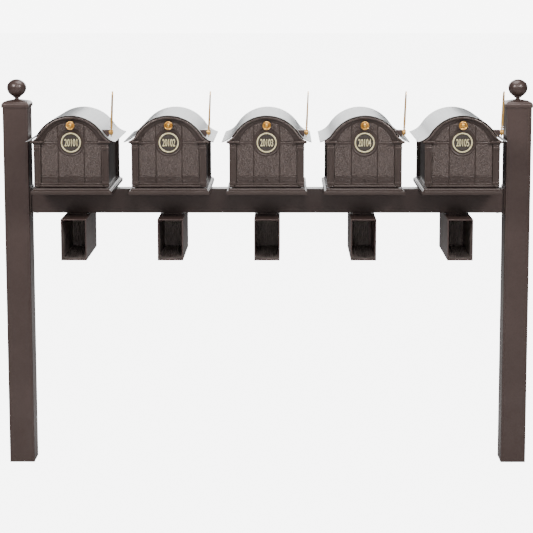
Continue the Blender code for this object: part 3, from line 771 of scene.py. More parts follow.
@dataclass(frozen=True)
class Gold(Finish):
    """Lacquered gold of the flags and knobs, with a fine brushed grain."""

    pale: Colour = (0.730, 0.430, 0.135)
    deep: Colour = (0.480, 0.240, 0.060)
    grain: tuple[float, float, float] = (1.0, 1.0, 0.06)

    def mixed(self, graph: Graph) -> bpy.types.Material:
        """Brushed streaks, slight tarnish and edges painted brighter for highlights and wear.

        Args:
            graph: The nodes of a new material.

        Returns:
            The material.
        """
        streak = graph.noise(900.0, 2.0, self.grain)
        tarnish = graph.noise(45.0, 3.0)
        tone = graph.blend((streak * 0.5 + tarnish * 0.6).over(0.25, 0.75), self.deep, self.pale)
        # Edges painted a brighter gold: painted highlights, partly wear.
        tone = graph.blend(graph.wear() * 0.6, tone, (0.95, 0.72, 0.38))
        normal = graph.relief(streak, 0.00004, 1.0)
        return graph.surface(tone, 0.22 + tarnish * 0.16, 0.85, normal)


@dataclass(frozen=True)
class Enamel(Finish):
    """Pale gold paint of the plaques' rims and digits, brushed on over the casting."""

    pale: Colour = (0.720, 0.640, 0.380)
    deep: Colour = (0.500, 0.400, 0.190)

    def mixed(self, graph: Graph) -> bpy.types.Material:
        """Uneven brush work with a slight sheen.

        Args:
            graph: The nodes of a new material.

        Returns:
            The material.
        """
        cloud = graph.noise(160.0, 3.0)
        tone = graph.blend(cloud.over(0.25, 0.55), self.deep, self.pale)
        normal = graph.relief(graph.noise(520.0, 2.0), 0.00008, 1.0)
        return graph.surface(tone, 0.36 + cloud * 0.15, 0.35, normal)


@dataclass(frozen=True)
class BareSteel(Finish):
    """Plain or blackened steel of rods, bolts and screws."""

    pale: Colour = (0.420, 0.410, 0.400)
    deep: Colour = (0.240, 0.230, 0.225)

    def mixed(self, graph: Graph) -> bpy.types.Material:
        """Turning marks round the piece and a little tarnish.

        Args:
            graph: The nodes of a new material.

        Returns:
            The material.
        """
        cloud = graph.noise(120.0, 3.0)
        marks = graph.noise(1400.0, 1.0, (1.0, 0.2, 0.2))
        tone = graph.blend(cloud.over(0.30, 0.70), self.deep, self.pale)
        normal = graph.relief(marks, 0.00003, 1.0)
        return graph.surface(tone, 0.30 + cloud * 0.18, 0.95, normal)


BRONZE = PowderCoat("bronze_powder_coat", Slot.BRONZE)
SMOOTH_BRONZE = PowderCoat("bronze_smooth_coat", Slot.BRONZE, gloss=0.27, peel=0.00002)
# The same bronze paint, painted far paler inside the newspaper boxes as painted light where the lamps leave
# them dark.
INSIDE_BRONZE_PAINTED_LIGHT = PowderCoat(
    "bronze_inside_painted_light", Slot.BRONZE, deep=(0.190, 0.155, 0.143), pale=(0.280, 0.236, 0.218),
    gloss=0.38,
)
# The mailbox castings and their stippled panels: the posts' bronze paint, painted darker as painted shade
# over the overhung, recessed fronts.
CAST_BRONZE_SHADED = PowderCoat(
    "bronze_casting_painted_shade", Slot.BRONZE, deep=(0.031, 0.0190, 0.0155), pale=(0.043, 0.0280, 0.0235),
    edge=(0.165, 0.122, 0.106), peel=0.0001, peel_scale=520.0,
)
STIPPLED_BRONZE_SHADED = PowderCoat(
    "bronze_stippled_panel_painted_shade", Slot.BRONZE, deep=(0.023, 0.0142, 0.0117), pale=(0.037, 0.0240, 0.0200),
    edge=(0.100, 0.071, 0.061), stipple=0.0011,
)
DARK_FIELD = PowderCoat(
    "plaque_field", Slot.PLAQUE, deep=(0.016, 0.012, 0.010), pale=(0.026, 0.019, 0.016),
    edge=(0.050, 0.038, 0.030), stipple=0.0003, stipple_scale=520.0,
)
ROOF = RoofSatin("roof_top_painted_reflection", Slot.ROOF)
GOLD = Gold("gold_lacquer", Slot.GOLD)
TURNED_GOLD = Gold("gold_turned", Slot.GOLD, pale=(0.780, 0.460, 0.130), grain=(1.0, 0.3, 1.0))
ENAMEL = Enamel("plaque_enamel", Slot.PLAQUE)
ROD_STEEL = BareSteel("rod_steel_bright", Slot.STEEL)
BOLT_STEEL = BareSteel(
    "bolt_steel_black", Slot.STEEL, pale=(0.075, 0.066, 0.062), deep=(0.040, 0.034, 0.032),
)


# ---------------------------------------------------------------- the roof's curve


@dataclass(frozen=True)
class RoofCurve:
    """The bell curve of a roof's top surface: a crown, two flares and short lips."""

    crown_radius: float = 0.1800
    flare_radius: float = 0.0950
    flare_out: float = 0.23063
    flare_height: float = 0.34278
    eave_angle: float = 17.0
    lip: float = 0.0075
    crown_steps: int = 22
    flare_steps: int = 14

    def section(self, inset: float) -> list[Point]:
        """The curve from left to right, set in from the top surface.

        Args:
            inset: Distance below the roof's top surface.

        Returns:
            The (x, z) points.
        """
        reach = self.crown_radius + self.flare_radius
        turn = math.asin(self.flare_out / reach)
        crown_angle = math.degrees(turn)
        crown_centre = (0.0, self.flare_height - reach * math.cos(turn))
        flare_centre = (self.flare_out, self.flare_height)
        half = arc(crown_centre, self.crown_radius - inset, 90, 90 - crown_angle, self.crown_steps)
        ends = (270 - crown_angle, 270 - self.eave_angle)
        half += arc(flare_centre, self.flare_radius + inset, *ends, self.flare_steps)[1:]
        slope = math.radians(self.eave_angle)
        tip_x, tip_z = half[-1]
        half.append((tip_x + self.lip * math.cos(slope), tip_z - self.lip * math.sin(slope)))
        return [(-x, z) for x, z in reversed(half[1:])] + half

    def height(self, x: float, inset: float) -> float:
        """Height of the curve at x.

        Args:
            x: Place across the mailbox.
            inset: Distance below the roof's top surface.

        Returns:
            The height.
        """
        section = self.section(inset)
        for (x0, z0), (x1, z1) in zip(section, section[1:]):
            if x0 <= x <= x1:
                return z0 + (z1 - z0) * (x - x0) / (x1 - x0)
        return section[-1][1]

    def crest(self, half_width: float, inset: float) -> list[Point]:
        """The curve from left to right between two sides.

        Args:
            half_width: Half the distance between the sides.
            inset: Distance below the roof's top surface.

        Returns:
            The (x, z) points.
        """
        shoulder = self.height(half_width, inset)
        between = [(x, z) for x, z in self.section(inset) if abs(x) < half_width - MILLIMETRE / 5]
        return [(-half_width, shoulder), *between, (half_width, shoulder)]

    def arched(self, half_width: float, inset: float, bottom: float) -> list[Point]:
        """Closed outline with upright sides under the curve."""
        return [(-half_width, bottom), *self.crest(half_width, inset), (half_width, bottom)]

    def band(self, half_width: float, outer: float, inner: float) -> tuple[list[Point], list[Point]]:
        """The two edges of a strip that follows the curve between two insets, point for point.

        Args:
            half_width: Half the strip's width.
            outer: The upper edge's distance below the roof's top surface.
            inner: The lower edge's distance.

        Returns:
            The upper edge and the lower edge.
        """
        edge = half_width - 2 * MILLIMETRE
        points = zip(self.section(outer), self.section(inner))
        pairs = [pair for pair in points if max(abs(x) for x, _ in pair) < edge]
        heights = [self.height(half_width, inset) for inset in (outer, inner)]
        ends = [[(side * half_width, height) for height in heights] for side in (-1, 1)]
        whole = [ends[0], *pairs, ends[1]]
        return [pair[0] for pair in whole], [pair[1] for pair in whole]


CURVE = RoofCurve()
KNOB_PLACE = (-0.2313, 0.3255)          # y and height above the mailbox's bottom
PLAQUE_PLACE = (-0.2348, 0.2440)


# ---------------------------------------------------------------- posts and beam


@dataclass
class Post:
    """Square tube post with a pyramid cap and a ball finial."""

    side: str
    wall: float = 0.0040
    corner: float = 0.0050
    line_inset: float = 0.0100      # of the fine line beside each corner
    line_depth: float = 0.0005
    socket: float = 0.0127
    cap_wall: float = 0.0045
    collar: float = 0.0150
    bevel_in: float = 0.0075
    bevel_top: float = 0.0260
    peak_half: float = 0.0120
    ball: float = 0.0460
    ball_centre: float = 0.0570
    finial_height: float = 0.0960
    taper_angle: float = 50.0
    stud: Point = (0.0050, 0.0200)      # radius and length

    def outline(self, half: float) -> list[Point]:
        """Rounded square with a fine line near each corner on every face.

        Args:
            half: Half the post's side.

        Returns:
            The (x, y) points.
        """
        corners = rounded_rectangle(half, half, self.corner)
        size = len(corners) // 4
        points: list[Point] = []
        lines = half - self.line_inset
        for quarter in range(4):
            points += corners[quarter * size:(quarter + 1) * size]
            turn = math.radians(90 * (quarter + 1))
            cos, sin = math.cos(turn), math.sin(turn)
            for middle in (lines, -lines):
                for along, depth in ((1, 0), (0, self.line_depth), (-1, 0)):
                    across = middle + along * self.line_depth
                    x, y = half - depth, -across
                    points.append((x * cos - y * sin, x * sin + y * cos))
        return points

    def build(self) -> None:
        """Makes the post, its cap and its finial."""
        low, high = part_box(f"{self.side}_post")
        middle = (low + high) / 2
        half = (high.x - low.x) / 2
        tube = Form.pipe(self.outline(half), self.wall, (0, high.z), Turn.Z)
        tube.moved((middle.x, middle.y, 0))
        fixed(tube, f"{self.side}_post_tube", STAND, (BRONZE,), f"{self.side}_post")
        low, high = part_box(f"{self.side}_post_cap")
        cap = self.cap((high.x - low.x) / 2, high.z - low.z).moved((middle.x, middle.y, low.z))
        fixed(cap, f"{self.side}_pyramid_cap", STAND, (BRONZE,), f"{self.side}_post_cap")
        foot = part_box(f"{self.side}_finial")[1].z - self.finial_height
        finial = self.finial().moved((middle.x, middle.y, foot))
        fixed(finial, f"{self.side}_ball_finial", STAND, (SMOOTH_BRONZE,), f"{self.side}_finial")

    def cap(self, half: float, height: float) -> Form:
        """Pyramid cap with a socket below.

        Args:
            half: Half the cap's side.
            height: Height of its top above the collar's foot.

        Returns:
            The cap.
        """
        socket = half - self.cap_wall
        shoulder = half - self.bevel_in
        levels = [(socket, self.socket), (socket, 0.0), (half, 0.0), (half, self.collar)]
        levels += [(shoulder, self.bevel_top), (self.peak_half, height)]
        return Form.tower([(-a, a, -a, a, z) for a, z in levels]).softened(0.0012, 8.0)

    def finial(self) -> Form:
        """Teardrop ball on a stepped neck, with its stud.

        Returns:
            The finial, its neck standing at the origin.
        """
        radius, length = self.stud
        profile = [(0, -length), (radius, -length), (radius, 0.0003), (0.0118, 0.0003), (0.0122, 0.0015)]
        profile += [(0.0102, 0.0028), (0.0098, 0.0062), (0.0108, 0.0084), (0.0165, 0.0098)]
        profile += [(0.0184, 0.0108), (0.0186, 0.0122), (0.0176, 0.0136)]
        profile += arc((0, self.ball_centre), self.ball, -self.taper_angle, 0, 12)
        crown = self.finial_height - self.ball_centre
        for step in range(1, 21):
            lift = math.pi / 2 * step / 20
            profile.append((self.ball * math.cos(lift), self.ball_centre + crown * math.sin(lift)))
        return Form.turned(profile, 64)


@dataclass
class Beam:
    """Rectangular tube between the posts, on a bracket at each end."""

    corner: float = 0.0025
    wall: float = 0.0040
    tongue_gap: float = 0.0006
    plate: float = 0.0050
    bolt_inset: float = 0.0270      # from a post's face to the bolt below the beam
    bolt_radius: float = 0.0085

    def build(self) -> None:
        """Makes the beam, its brackets and the bolts below it."""
        low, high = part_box("beam")
        middle, half = (low + high) / 2, (high - low) / 2
        outline = rounded_rectangle(half.y, half.z, self.corner, 4)
        tube = Form.pipe(outline, self.wall, (-half.x, half.x), Turn.X).moved(middle)
        fixed(tube, "beam_tube", STAND, (BRONZE,), "beam")
        tongue_y, tongue_z = (size - self.wall - self.tongue_gap for size in (half.y, half.z))
        for side, sign in (("left", -1), ("right", 1)):
            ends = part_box(f"{side}_beam_bracket")
            outer, inner = (ends[0].x, ends[1].x) if sign < 0 else (ends[1].x, ends[0].x)
            plate_end = outer - sign * self.plate
            span = (min(outer, plate_end), max(outer, plate_end))
            plate = Form.block(span, (ends[0].y, ends[1].y), (ends[0].z, ends[1].z)).softened(0.0009)
            reach = (min(inner, plate_end), max(inner, plate_end))
            tongue = rounded_rectangle(tongue_y, tongue_z, self.corner, 3)
            arm = Form.pipe(tongue, self.wall, reach, Turn.X).moved((0, middle.y, middle.z))
            name = f"{side}_beam_bracket"
            fixed(plate.join(arm), f"{side}_end_bracket", STAND, (BRONZE,), name)
            bolt = hex_bolt(self.bolt_radius, 0.0062).turn(180, Turn.X)
            bolt.moved((outer - sign * self.bolt_inset, middle.y, low.z))
            fixed(bolt, f"{side}_beam_bolt", STAND, (BOLT_STEEL,))


def hex_bolt(radius: float, height: float) -> Form:
    """A hexagon head on a washer, standing up from the origin.

    Args:
        radius: Radius to the hexagon's corners.
        height: Height of the head.

    Returns:
        The head and its washer.
    """
    washer = Form.turned([(0, 0), (radius * 1.35, 0), (radius * 1.35, height * 0.2), (0, height * 0.2)], 32)
    head = Form.rod(radius, (height * 0.15, height), 6, Turn.Z).softened(radius * 0.06)
    dome = Form.turned([(0, height * 0.9), (radius * 0.78, height * 0.9), (0, height * 1.03)], 24)
    return washer.join(head, dome)


def pan_screw(radius: float) -> Form:
    """A round slotted head, standing up from the origin.

    Args:
        radius: Radius of the head.

    Returns:
        The head.
    """
    profile = [(0, 0), (radius, 0), (radius, radius * 0.25)]
    profile += arc((0, radius * 0.25), radius, 0, 90, 6)[1:]
    head = Form.turned([(r, min(z, radius * 0.25 + (z - radius * 0.25) * 0.4)) for r, z in profile], 28)
    slot = Form.block((-radius * 0.8, radius * 0.8), (-radius * 0.08, radius * 0.08), (0, radius * 0.68))
    return head.join(slot)


# ---------------------------------------------------------------- end castings


@dataclass
class Casting:
    """The panelled end of a mailbox: pilasters, capitals, arch and panels."""

    face: float = 0.2405            # the pilasters' edge strips
    ground: float = 0.2300          # floor of the grooves between the panels
    back: float = 0.2252
    panel_face: float = 0.2326
    plate_half: float = 0.1743
    inset: float = 0.0070           # from the roof's top surface to the casting's edge
    pilaster: Span = (0.1435, 0.1750)
    strip: float = 0.0052
    flute_face: float = 0.2374
    groove: Span = (0.0585, 0.0630)     # upright grooves between the panels
    panel: Span = (0.0862, 0.2352)      # bottom and top of the tall panels
    band: Span = (0.0502, 0.0806)       # bottom and top of the scroll band
    impost: Span = (0.2382, 0.2462)
    capital: Span = (0.2305, 0.2515)
    capital_spread: tuple[float, float, float] = (0.0145, 0.0130, 0.0125)   # inwards, outwards, forwards
    abacus: float = 0.0078
    neck: Span = (0.2195, 0.2300)
    arch_radius: float = 0.1474
    arch_top: float = 0.3480
    arch_half: float = 0.1370
    spandrel_face: float = 0.2362
    tympanum_inset: float = 0.0100
    boss: float = 0.0650
    boss_face: float = 0.2344
    boss_height: float = 0.2440
    scroll_size: float = 0.0155
    scroll_pitch: float = 0.0335
    scroll_face: float = 0.2338
    rosette_face: float = 0.2334
    band_face: float = 0.2336
    lip_face: float = 0.2356        # of the band's upper lip
    sill_face: float = 0.2358       # of the moulding under the band
    foot_face: float = 0.2340       # of the plain foot below it
    impost_face: Span = (0.2330, 0.2346)        # of its lower and upper step
    cornice_face: Span = (0.2400, 0.2515)       # of the lower and upper moulding under the roof
    arch_bead_face: float = 0.2348

    def slab(self, x: Span, z: Span, front: float, soft: float = SOFT_EDGE) -> Form:
        """A block that stands on the groove floor, with rounded edges."""
        return Form.block(x, (-front, -self.ground + JOIN), z).softened(soft)

    def over(self, outline: Sequence[Point], front: float, soft: float = SOFT_EDGE) -> Form:
        """A shaped strip that stands on the groove floor, with rounded edges."""
        return Form.prism(outline, (-front, -self.ground + JOIN)).softened(soft)

    def moulding(self, edges: Sequence[Sequence[Point]], front: float, soft: float) -> Form:
        """A strip between two lines that stands on the groove floor, with rounded edges."""
        return Form.ribbon(edges[0], edges[1], (-front, -self.ground + JOIN)).softened(soft)

    def arch(self, radius: float, steps: int = 36) -> list[Point]:
        """The arch at a radius, from its right-hand springing to its left-hand one.

        Args:
            radius: Distance from the arch's centre.
            steps: Steps along it.

        Returns:
            The (x, z) points.
        """
        centre = (0.0, self.arch_top - self.arch_radius)
        spring = math.degrees(math.acos(self.arch_half / self.arch_radius))
        return arc(centre, radius, spring, 180 - spring, steps)

    def columns(self) -> list[Span]:
        """The three columns of panels, left to right.

        Returns:
            The left and right limits of each.
        """
        inner, outer = self.groove
        edge = self.pilaster[0] - 0.0024
        return [(-edge, -outer), (-inner, inner), (outer, edge)]

    def relief(self, bottom: float) -> Form:
        """Everything in front of the plate, from the given height up.

        Args:
            bottom: Height where it starts.

        Returns:
            The relief.
        """
        form = self.panels()
        form.join(self.bands(bottom), self.crown(), self.boss_disc())
        form.join(self.column(bottom).both_sides())
        return form

    def panels(self) -> Form:
        """Stippled panels: three tall ones and the parts of the tympanum.

        Returns:
            The panels, in the second finish.
        """
        form = Form()
        for column in self.columns():
            form.join(self.slab(column, self.panel, self.panel_face, 0.0013))
        inner, outer = self.groove
        radius = self.arch_radius - self.tympanum_inset
        centre = self.arch_top - self.arch_radius
        foot = self.impost[1] + 0.0026
        side_x = math.sqrt(radius ** 2 - (foot - centre) ** 2)
        for low_x, high_x, half in ((outer, side_x, False), (0.0, inner, True)):
            first = math.degrees(math.acos(high_x / radius))
            last = 90.0 if half else math.degrees(math.acos(low_x / radius))
            over = arc((0.0, centre), radius, first, last, 16)
            if half:
                whole = over + [(-x, z) for x, z in reversed(over[:-1])]
                form.join(self.over([(high_x, foot), *whole, (-high_x, foot)], self.panel_face, 0.0013))
            else:
                side = self.over([(low_x, foot), *over], self.panel_face, 0.0013)
                form.join(side.both_sides())
        return form.finish_with(1)

    def bands(self, bottom: float) -> Form:
        """Scroll band with its lips, impost, and beads in the grooves.

        Args:
            bottom: Height where the relief starts.

        Returns:
            The bands.
        """
        form = Form()
        low, high = self.band
        for left, right in self.columns():
            form.join(self.slab((left, right), (low, high), self.band_face))
            form.join(self.slab((left, right), (high, high + 0.0040), self.lip_face, 0.0012))
        reach = self.pilaster[0] + JOIN
        form.join(self.slab((-reach, reach), (low - 0.0036, low + JOIN), self.sill_face, 0.0012))
        if bottom < low - 0.0040:
            form.join(self.slab((-reach, reach), (bottom, low - 0.0034), self.foot_face, 0.0010))
        step = (self.impost[0] - 0.0026, self.impost[0] + JOIN)
        form.join(self.slab((-reach, reach), self.impost, self.impost_face[1], 0.0018))
        form.join(self.slab((-reach, reach), step, self.impost_face[0]))
        middle = sum(self.groove) / 2
        top = self.arch_top - self.arch_radius + math.sqrt(self.arch_radius ** 2 - middle ** 2)
        bead = Form.rod(0.0011, (low, top), 10, Turn.Z).moved((middle, -self.ground, 0))
        form.join(bead.both_sides(), self.scrolls())
        return form

    def scrolls(self) -> Form:
        """A row of S-scrolls along the band, mirrored about a rosette.

        Returns:
            The scrolls and the rosette.
        """
        steps, reach = 30, 2.05
        points = [Vector((0, 0, 0))]
        for step in range(steps):
            turn = math.pi / 2 * (reach * (step + 0.5) / steps) ** 2
            points.append(points[-1] + Vector((math.cos(turn), 0, math.sin(turn))) * (reach / steps))
        route = [-point for point in reversed(points[1:])] + points
        strand = Form.wire(
            [point * self.scroll_size for point in route], 0.0021,
            lambda share: 1.0 - 0.45 * abs(2 * share - 1),
        )
        for end in (-1, 1):
            eye = Form.turned([(0, -0.0006), (0.0021, -0.0004), (0.0017, 0.0006), (0, 0.0012)], 12, Turn.Y)
            spot = (end * self.scroll_size * 0.49, 0, end * self.scroll_size * 0.46)
            strand.join(eye.mirrored(Turn.Y).moved(spot))
        strand.turn(18, Turn.Y).scaled(1.0, 1.15, 0.95)
        middle = sum(self.band) / 2
        form = Form()
        for count in range(4):
            x = self.scroll_pitch * (count + 0.72)
            twin = strand.copy()
            if count % 2:
                twin.mirrored(Turn.X)
            form.join(twin.moved((x, -self.scroll_face, middle)))
        strand.mesh.free()
        rosette = Form.turned(
            [(0, 0), (0.0105, 0), (0.0105, -0.0012), (0.0085, -0.0018), (0.0066, -0.0010), (0.0050, -0.0012),
             (0.0040, -0.0026), (0, -0.0032)], 32, Turn.Y,
        )
        for petal in range(8):
            leaf = Form.rod(0.0011, (0.0048, 0.0098), 8, Turn.Z).scaled(1.3, 0.8, 1.0)
            leaf.moved((0, -0.0012, 0)).turn(45 * petal, Turn.Y)
            form.join(leaf.moved((0, -self.scroll_face, middle)))
        return form.both_sides().join(rosette.moved((0, -self.rosette_face, middle)))

    def column(self, bottom: float) -> Form:
        """Right-hand pilaster with its plinth and capital.

        Args:
            bottom: Height of the pilaster's foot.

        Returns:
            The pilaster.
        """
        inner, outer = self.pilaster
        shaft_top = self.neck[0] + JOIN
        form = self.slab((inner, outer), (bottom, self.capital[0] + JOIN), self.flute_face)
        form.join(self.slab((inner, inner + self.strip), (bottom, shaft_top), self.face, 0.0010))
        form.join(self.slab((outer - self.strip, outer), (bottom, shaft_top), self.face, 0.0010))
        end = (inner - 0.0006, outer + 0.0006)
        form.join(self.slab(end, (bottom, bottom + 0.0130), self.face + 0.0007, 0.0012))
        form.join(self.slab(end, (shaft_top - 0.0110, shaft_top + JOIN), self.face + 0.0009, 0.0010))
        low, high = self.neck
        ring = (inner - 0.0016, outer + 0.0016)
        form.join(self.slab(ring, (low, low + 0.0036), self.face + 0.0016, 0.0016))
        form.join(self.slab((inner, outer), (low + 0.0030, high), self.face - 0.0004))
        form.join(self.slab(end, (high - 0.0016, high + 0.0012), self.face + 0.0008, 0.0008))
        return form.join(self.capital_block())

    def capital_block(self) -> Form:
        """Cove that spreads to the flat top of the right-hand capital.

        Returns:
            The capital.
        """
        inner, outer = self.pilaster
        inwards, outwards, forwards = self.capital_spread
        low, high = self.capital
        slab_low = high - self.abacus
        back = -self.ground + JOIN
        levels: list[Level] = []
        for step in range(9):
            turn = math.pi / 2 * step / 8
            spread = (1 - math.cos(turn)) * 0.9
            z = low + (slab_low + JOIN - low) * math.sin(turn)
            sides = (inner - inwards * spread, outer + outwards * spread)
            levels.append((*sides, -self.face - forwards * spread, back, z))
        cove = Form.tower(levels)
        whole = (inner - inwards, outer + outwards)
        slab = Form.block(whole, (-self.face - forwards, back), (slab_low, high - 0.0018)).softened(0.0010)
        lip = (whole[0] + 0.0016, whole[1] - 0.0016)
        top = Form.block(lip, (-self.face - forwards + 0.0016, back), (high - 0.0026, high)).softened(0.0007)
        return cove.join(slab, top)

    def crown(self) -> Form:
        """Spandrels, the moulding under the roof and the bead round the arch.

        Returns:
            The spandrels and mouldings.
        """
        foot = self.capital[1] - self.abacus
        inner = [(self.arch_half, foot), *self.arch(self.arch_radius), (-self.arch_half, foot)]
        outline = CURVE.arched(self.plate_half, self.inset + 0.0004, foot) + inner
        form = self.over(outline, self.spandrel_face)
        reach = self.pilaster[1] + self.capital_spread[1] - 0.0022
        upper = CURVE.band(reach, self.inset + 0.0006, self.inset + 0.0088)
        lower = CURVE.band(reach - 0.002, self.inset + 0.0080, self.inset + 0.0114)
        low_face, high_face = self.cornice_face
        form.join(self.moulding(upper, high_face, 0.0030), self.moulding(lower, low_face, 0.0010))
        bead = (self.arch(self.arch_radius + JOIN), self.arch(self.arch_radius - 0.0032))
        return form.join(self.moulding(bead, self.arch_bead_face, 0.0010))

    def boss_disc(self) -> Form:
        """Round boss with a raised ring near its edge.

        Returns:
            The boss.
        """
        front, radius = self.boss_face, self.boss
        profile = [(0, -self.ground + JOIN), (radius, -self.ground + JOIN), (radius, -front + 0.0014)]
        profile += [(radius - 0.0014, -front), (radius - 0.0028, -front), (radius - 0.0040, -front - 0.0013)]
        profile += [(radius - 0.0062, -front - 0.0016), (radius - 0.0084, -front - 0.0008)]
        profile += [(radius - 0.0092, -front), (0, -front)]
        return Form.turned(profile, 96, Turn.Y).moved((0, 0, self.boss_height))


@dataclass
class Door(Casting):
    """Front casting with its hinge barrel along the foot."""

    hinge_y: float = -0.23395
    hinge_z: float = 0.0390
    barrel: float = 0.0063
    bore: float = 0.0023
    ear_centre: float = 0.1500
    ear_room: float = 0.0045
    rod_size: Point = (0.0020, 0.1735)      # radius and half length
    rib: float = 0.0026
    rib_x: float = 0.0610           # the upright ribs, from the middle
    rib_z: float = 0.0820           # the lower of the level ribs
    rib_half_length: float = 0.1400

    def shape(self) -> Form:
        """The whole casting about the mailbox's bottom centre.

        Returns:
            The door.
        """
        foot = self.hinge_z + 0.0050
        outline = CURVE.arched(self.plate_half, self.inset, foot)
        form = Form.prism(outline, (-self.ground, -self.back)).softened(0.0006)
        form.join(self.relief(self.hinge_z + 0.0070))
        gap_in, gap_out = self.ear_centre - self.ear_room, self.ear_centre + self.ear_room
        end = self.pilaster[1] - 0.0004
        for low, high in ((-end, -gap_out), (-gap_in, gap_in), (gap_out, end)):
            form.join(self.sleeve(low, high))
            root = (-self.ground - JOIN, -self.back)
            form.join(Form.block((low, high), root, (self.hinge_z, foot + JOIN)))
        return form.join(self.ribs())

    def sleeve(self, low: float, high: float) -> Form:
        """One length of the hinge barrel, bored for the rod.

        Args:
            low: Where it starts along X.
            high: Where it ends.

        Returns:
            The sleeve.
        """
        lip = 0.0008
        profile = [(self.bore, low), (self.barrel - lip, low), (self.barrel, low + lip)]
        profile += [(self.barrel, high - lip), (self.barrel - lip, high), (self.bore, high), (self.bore, low)]
        return Form.turned(profile, 40, Turn.X).moved((0, self.hinge_y, self.hinge_z))

    def rod(self) -> Form:
        """The hinge rod with domed ends, about its own middle.

        Returns:
            The rod.
        """
        radius, half = self.rod_size
        profile = [(0, -half), (radius * 0.6, -half + radius * 0.15), (radius, -half + radius * 0.6)]
        profile += [(r, -x) for r, x in reversed(profile)]
        return Form.turned(profile, 24, Turn.X)

    def ribs(self) -> Form:
        """Stiffening ribs on the inside, clear of the frame that the door closes against.

        Returns:
            The ribs.
        """
        depth = (-self.back - JOIN, -self.back + 0.0022)
        half = self.rib / 2
        top = self.arch_top - 0.034
        form = Form()
        for x in (-self.rib_x, self.rib_x):
            form.join(Form.block((x - half, x + half), depth, (0.0520, top - 0.018)).softened(0.0005))
        length = (-self.rib_half_length, self.rib_half_length)
        for z in (self.rib_z, self.boss_height):
            form.join(Form.block(length, depth, (z - half, z + half)).softened(0.0005))
        return form


@dataclass
class RearPanel(Casting):
    """Rear casting: the same relief, standing on the ledge."""

    foot: float = 0.0303
    inset: float = 0.0046
    screw_places: tuple[Point, Point] = ((0.100, 0.0400), (0.0955, 0.2570))     # x and height
    screw_foot: float = 0.2339      # of the lower screws

    def shape(self) -> Form:
        """The whole casting, facing backwards.

        Returns:
            The casting.
        """
        outline = CURVE.arched(self.plate_half, self.inset, self.foot)
        plate = Form.prism(outline, (-self.ground, -self.back))
        return plate.softened(0.0006).join(self.relief(self.foot)).mirrored(Turn.Y)

    def screws(self) -> Form:
        """Screws that hold it to the body, facing backwards.

        Returns:
            The screw heads.
        """
        form = Form()
        for reach, z in self.screw_places:
            face = self.screw_foot if z < self.band[0] else self.panel_face
            for x in (-reach, reach):
                form.join(pan_screw(0.0035).turn(-90, Turn.X).moved((x, face, z)))
        return form


# ---------------------------------------------------------------- mailbox


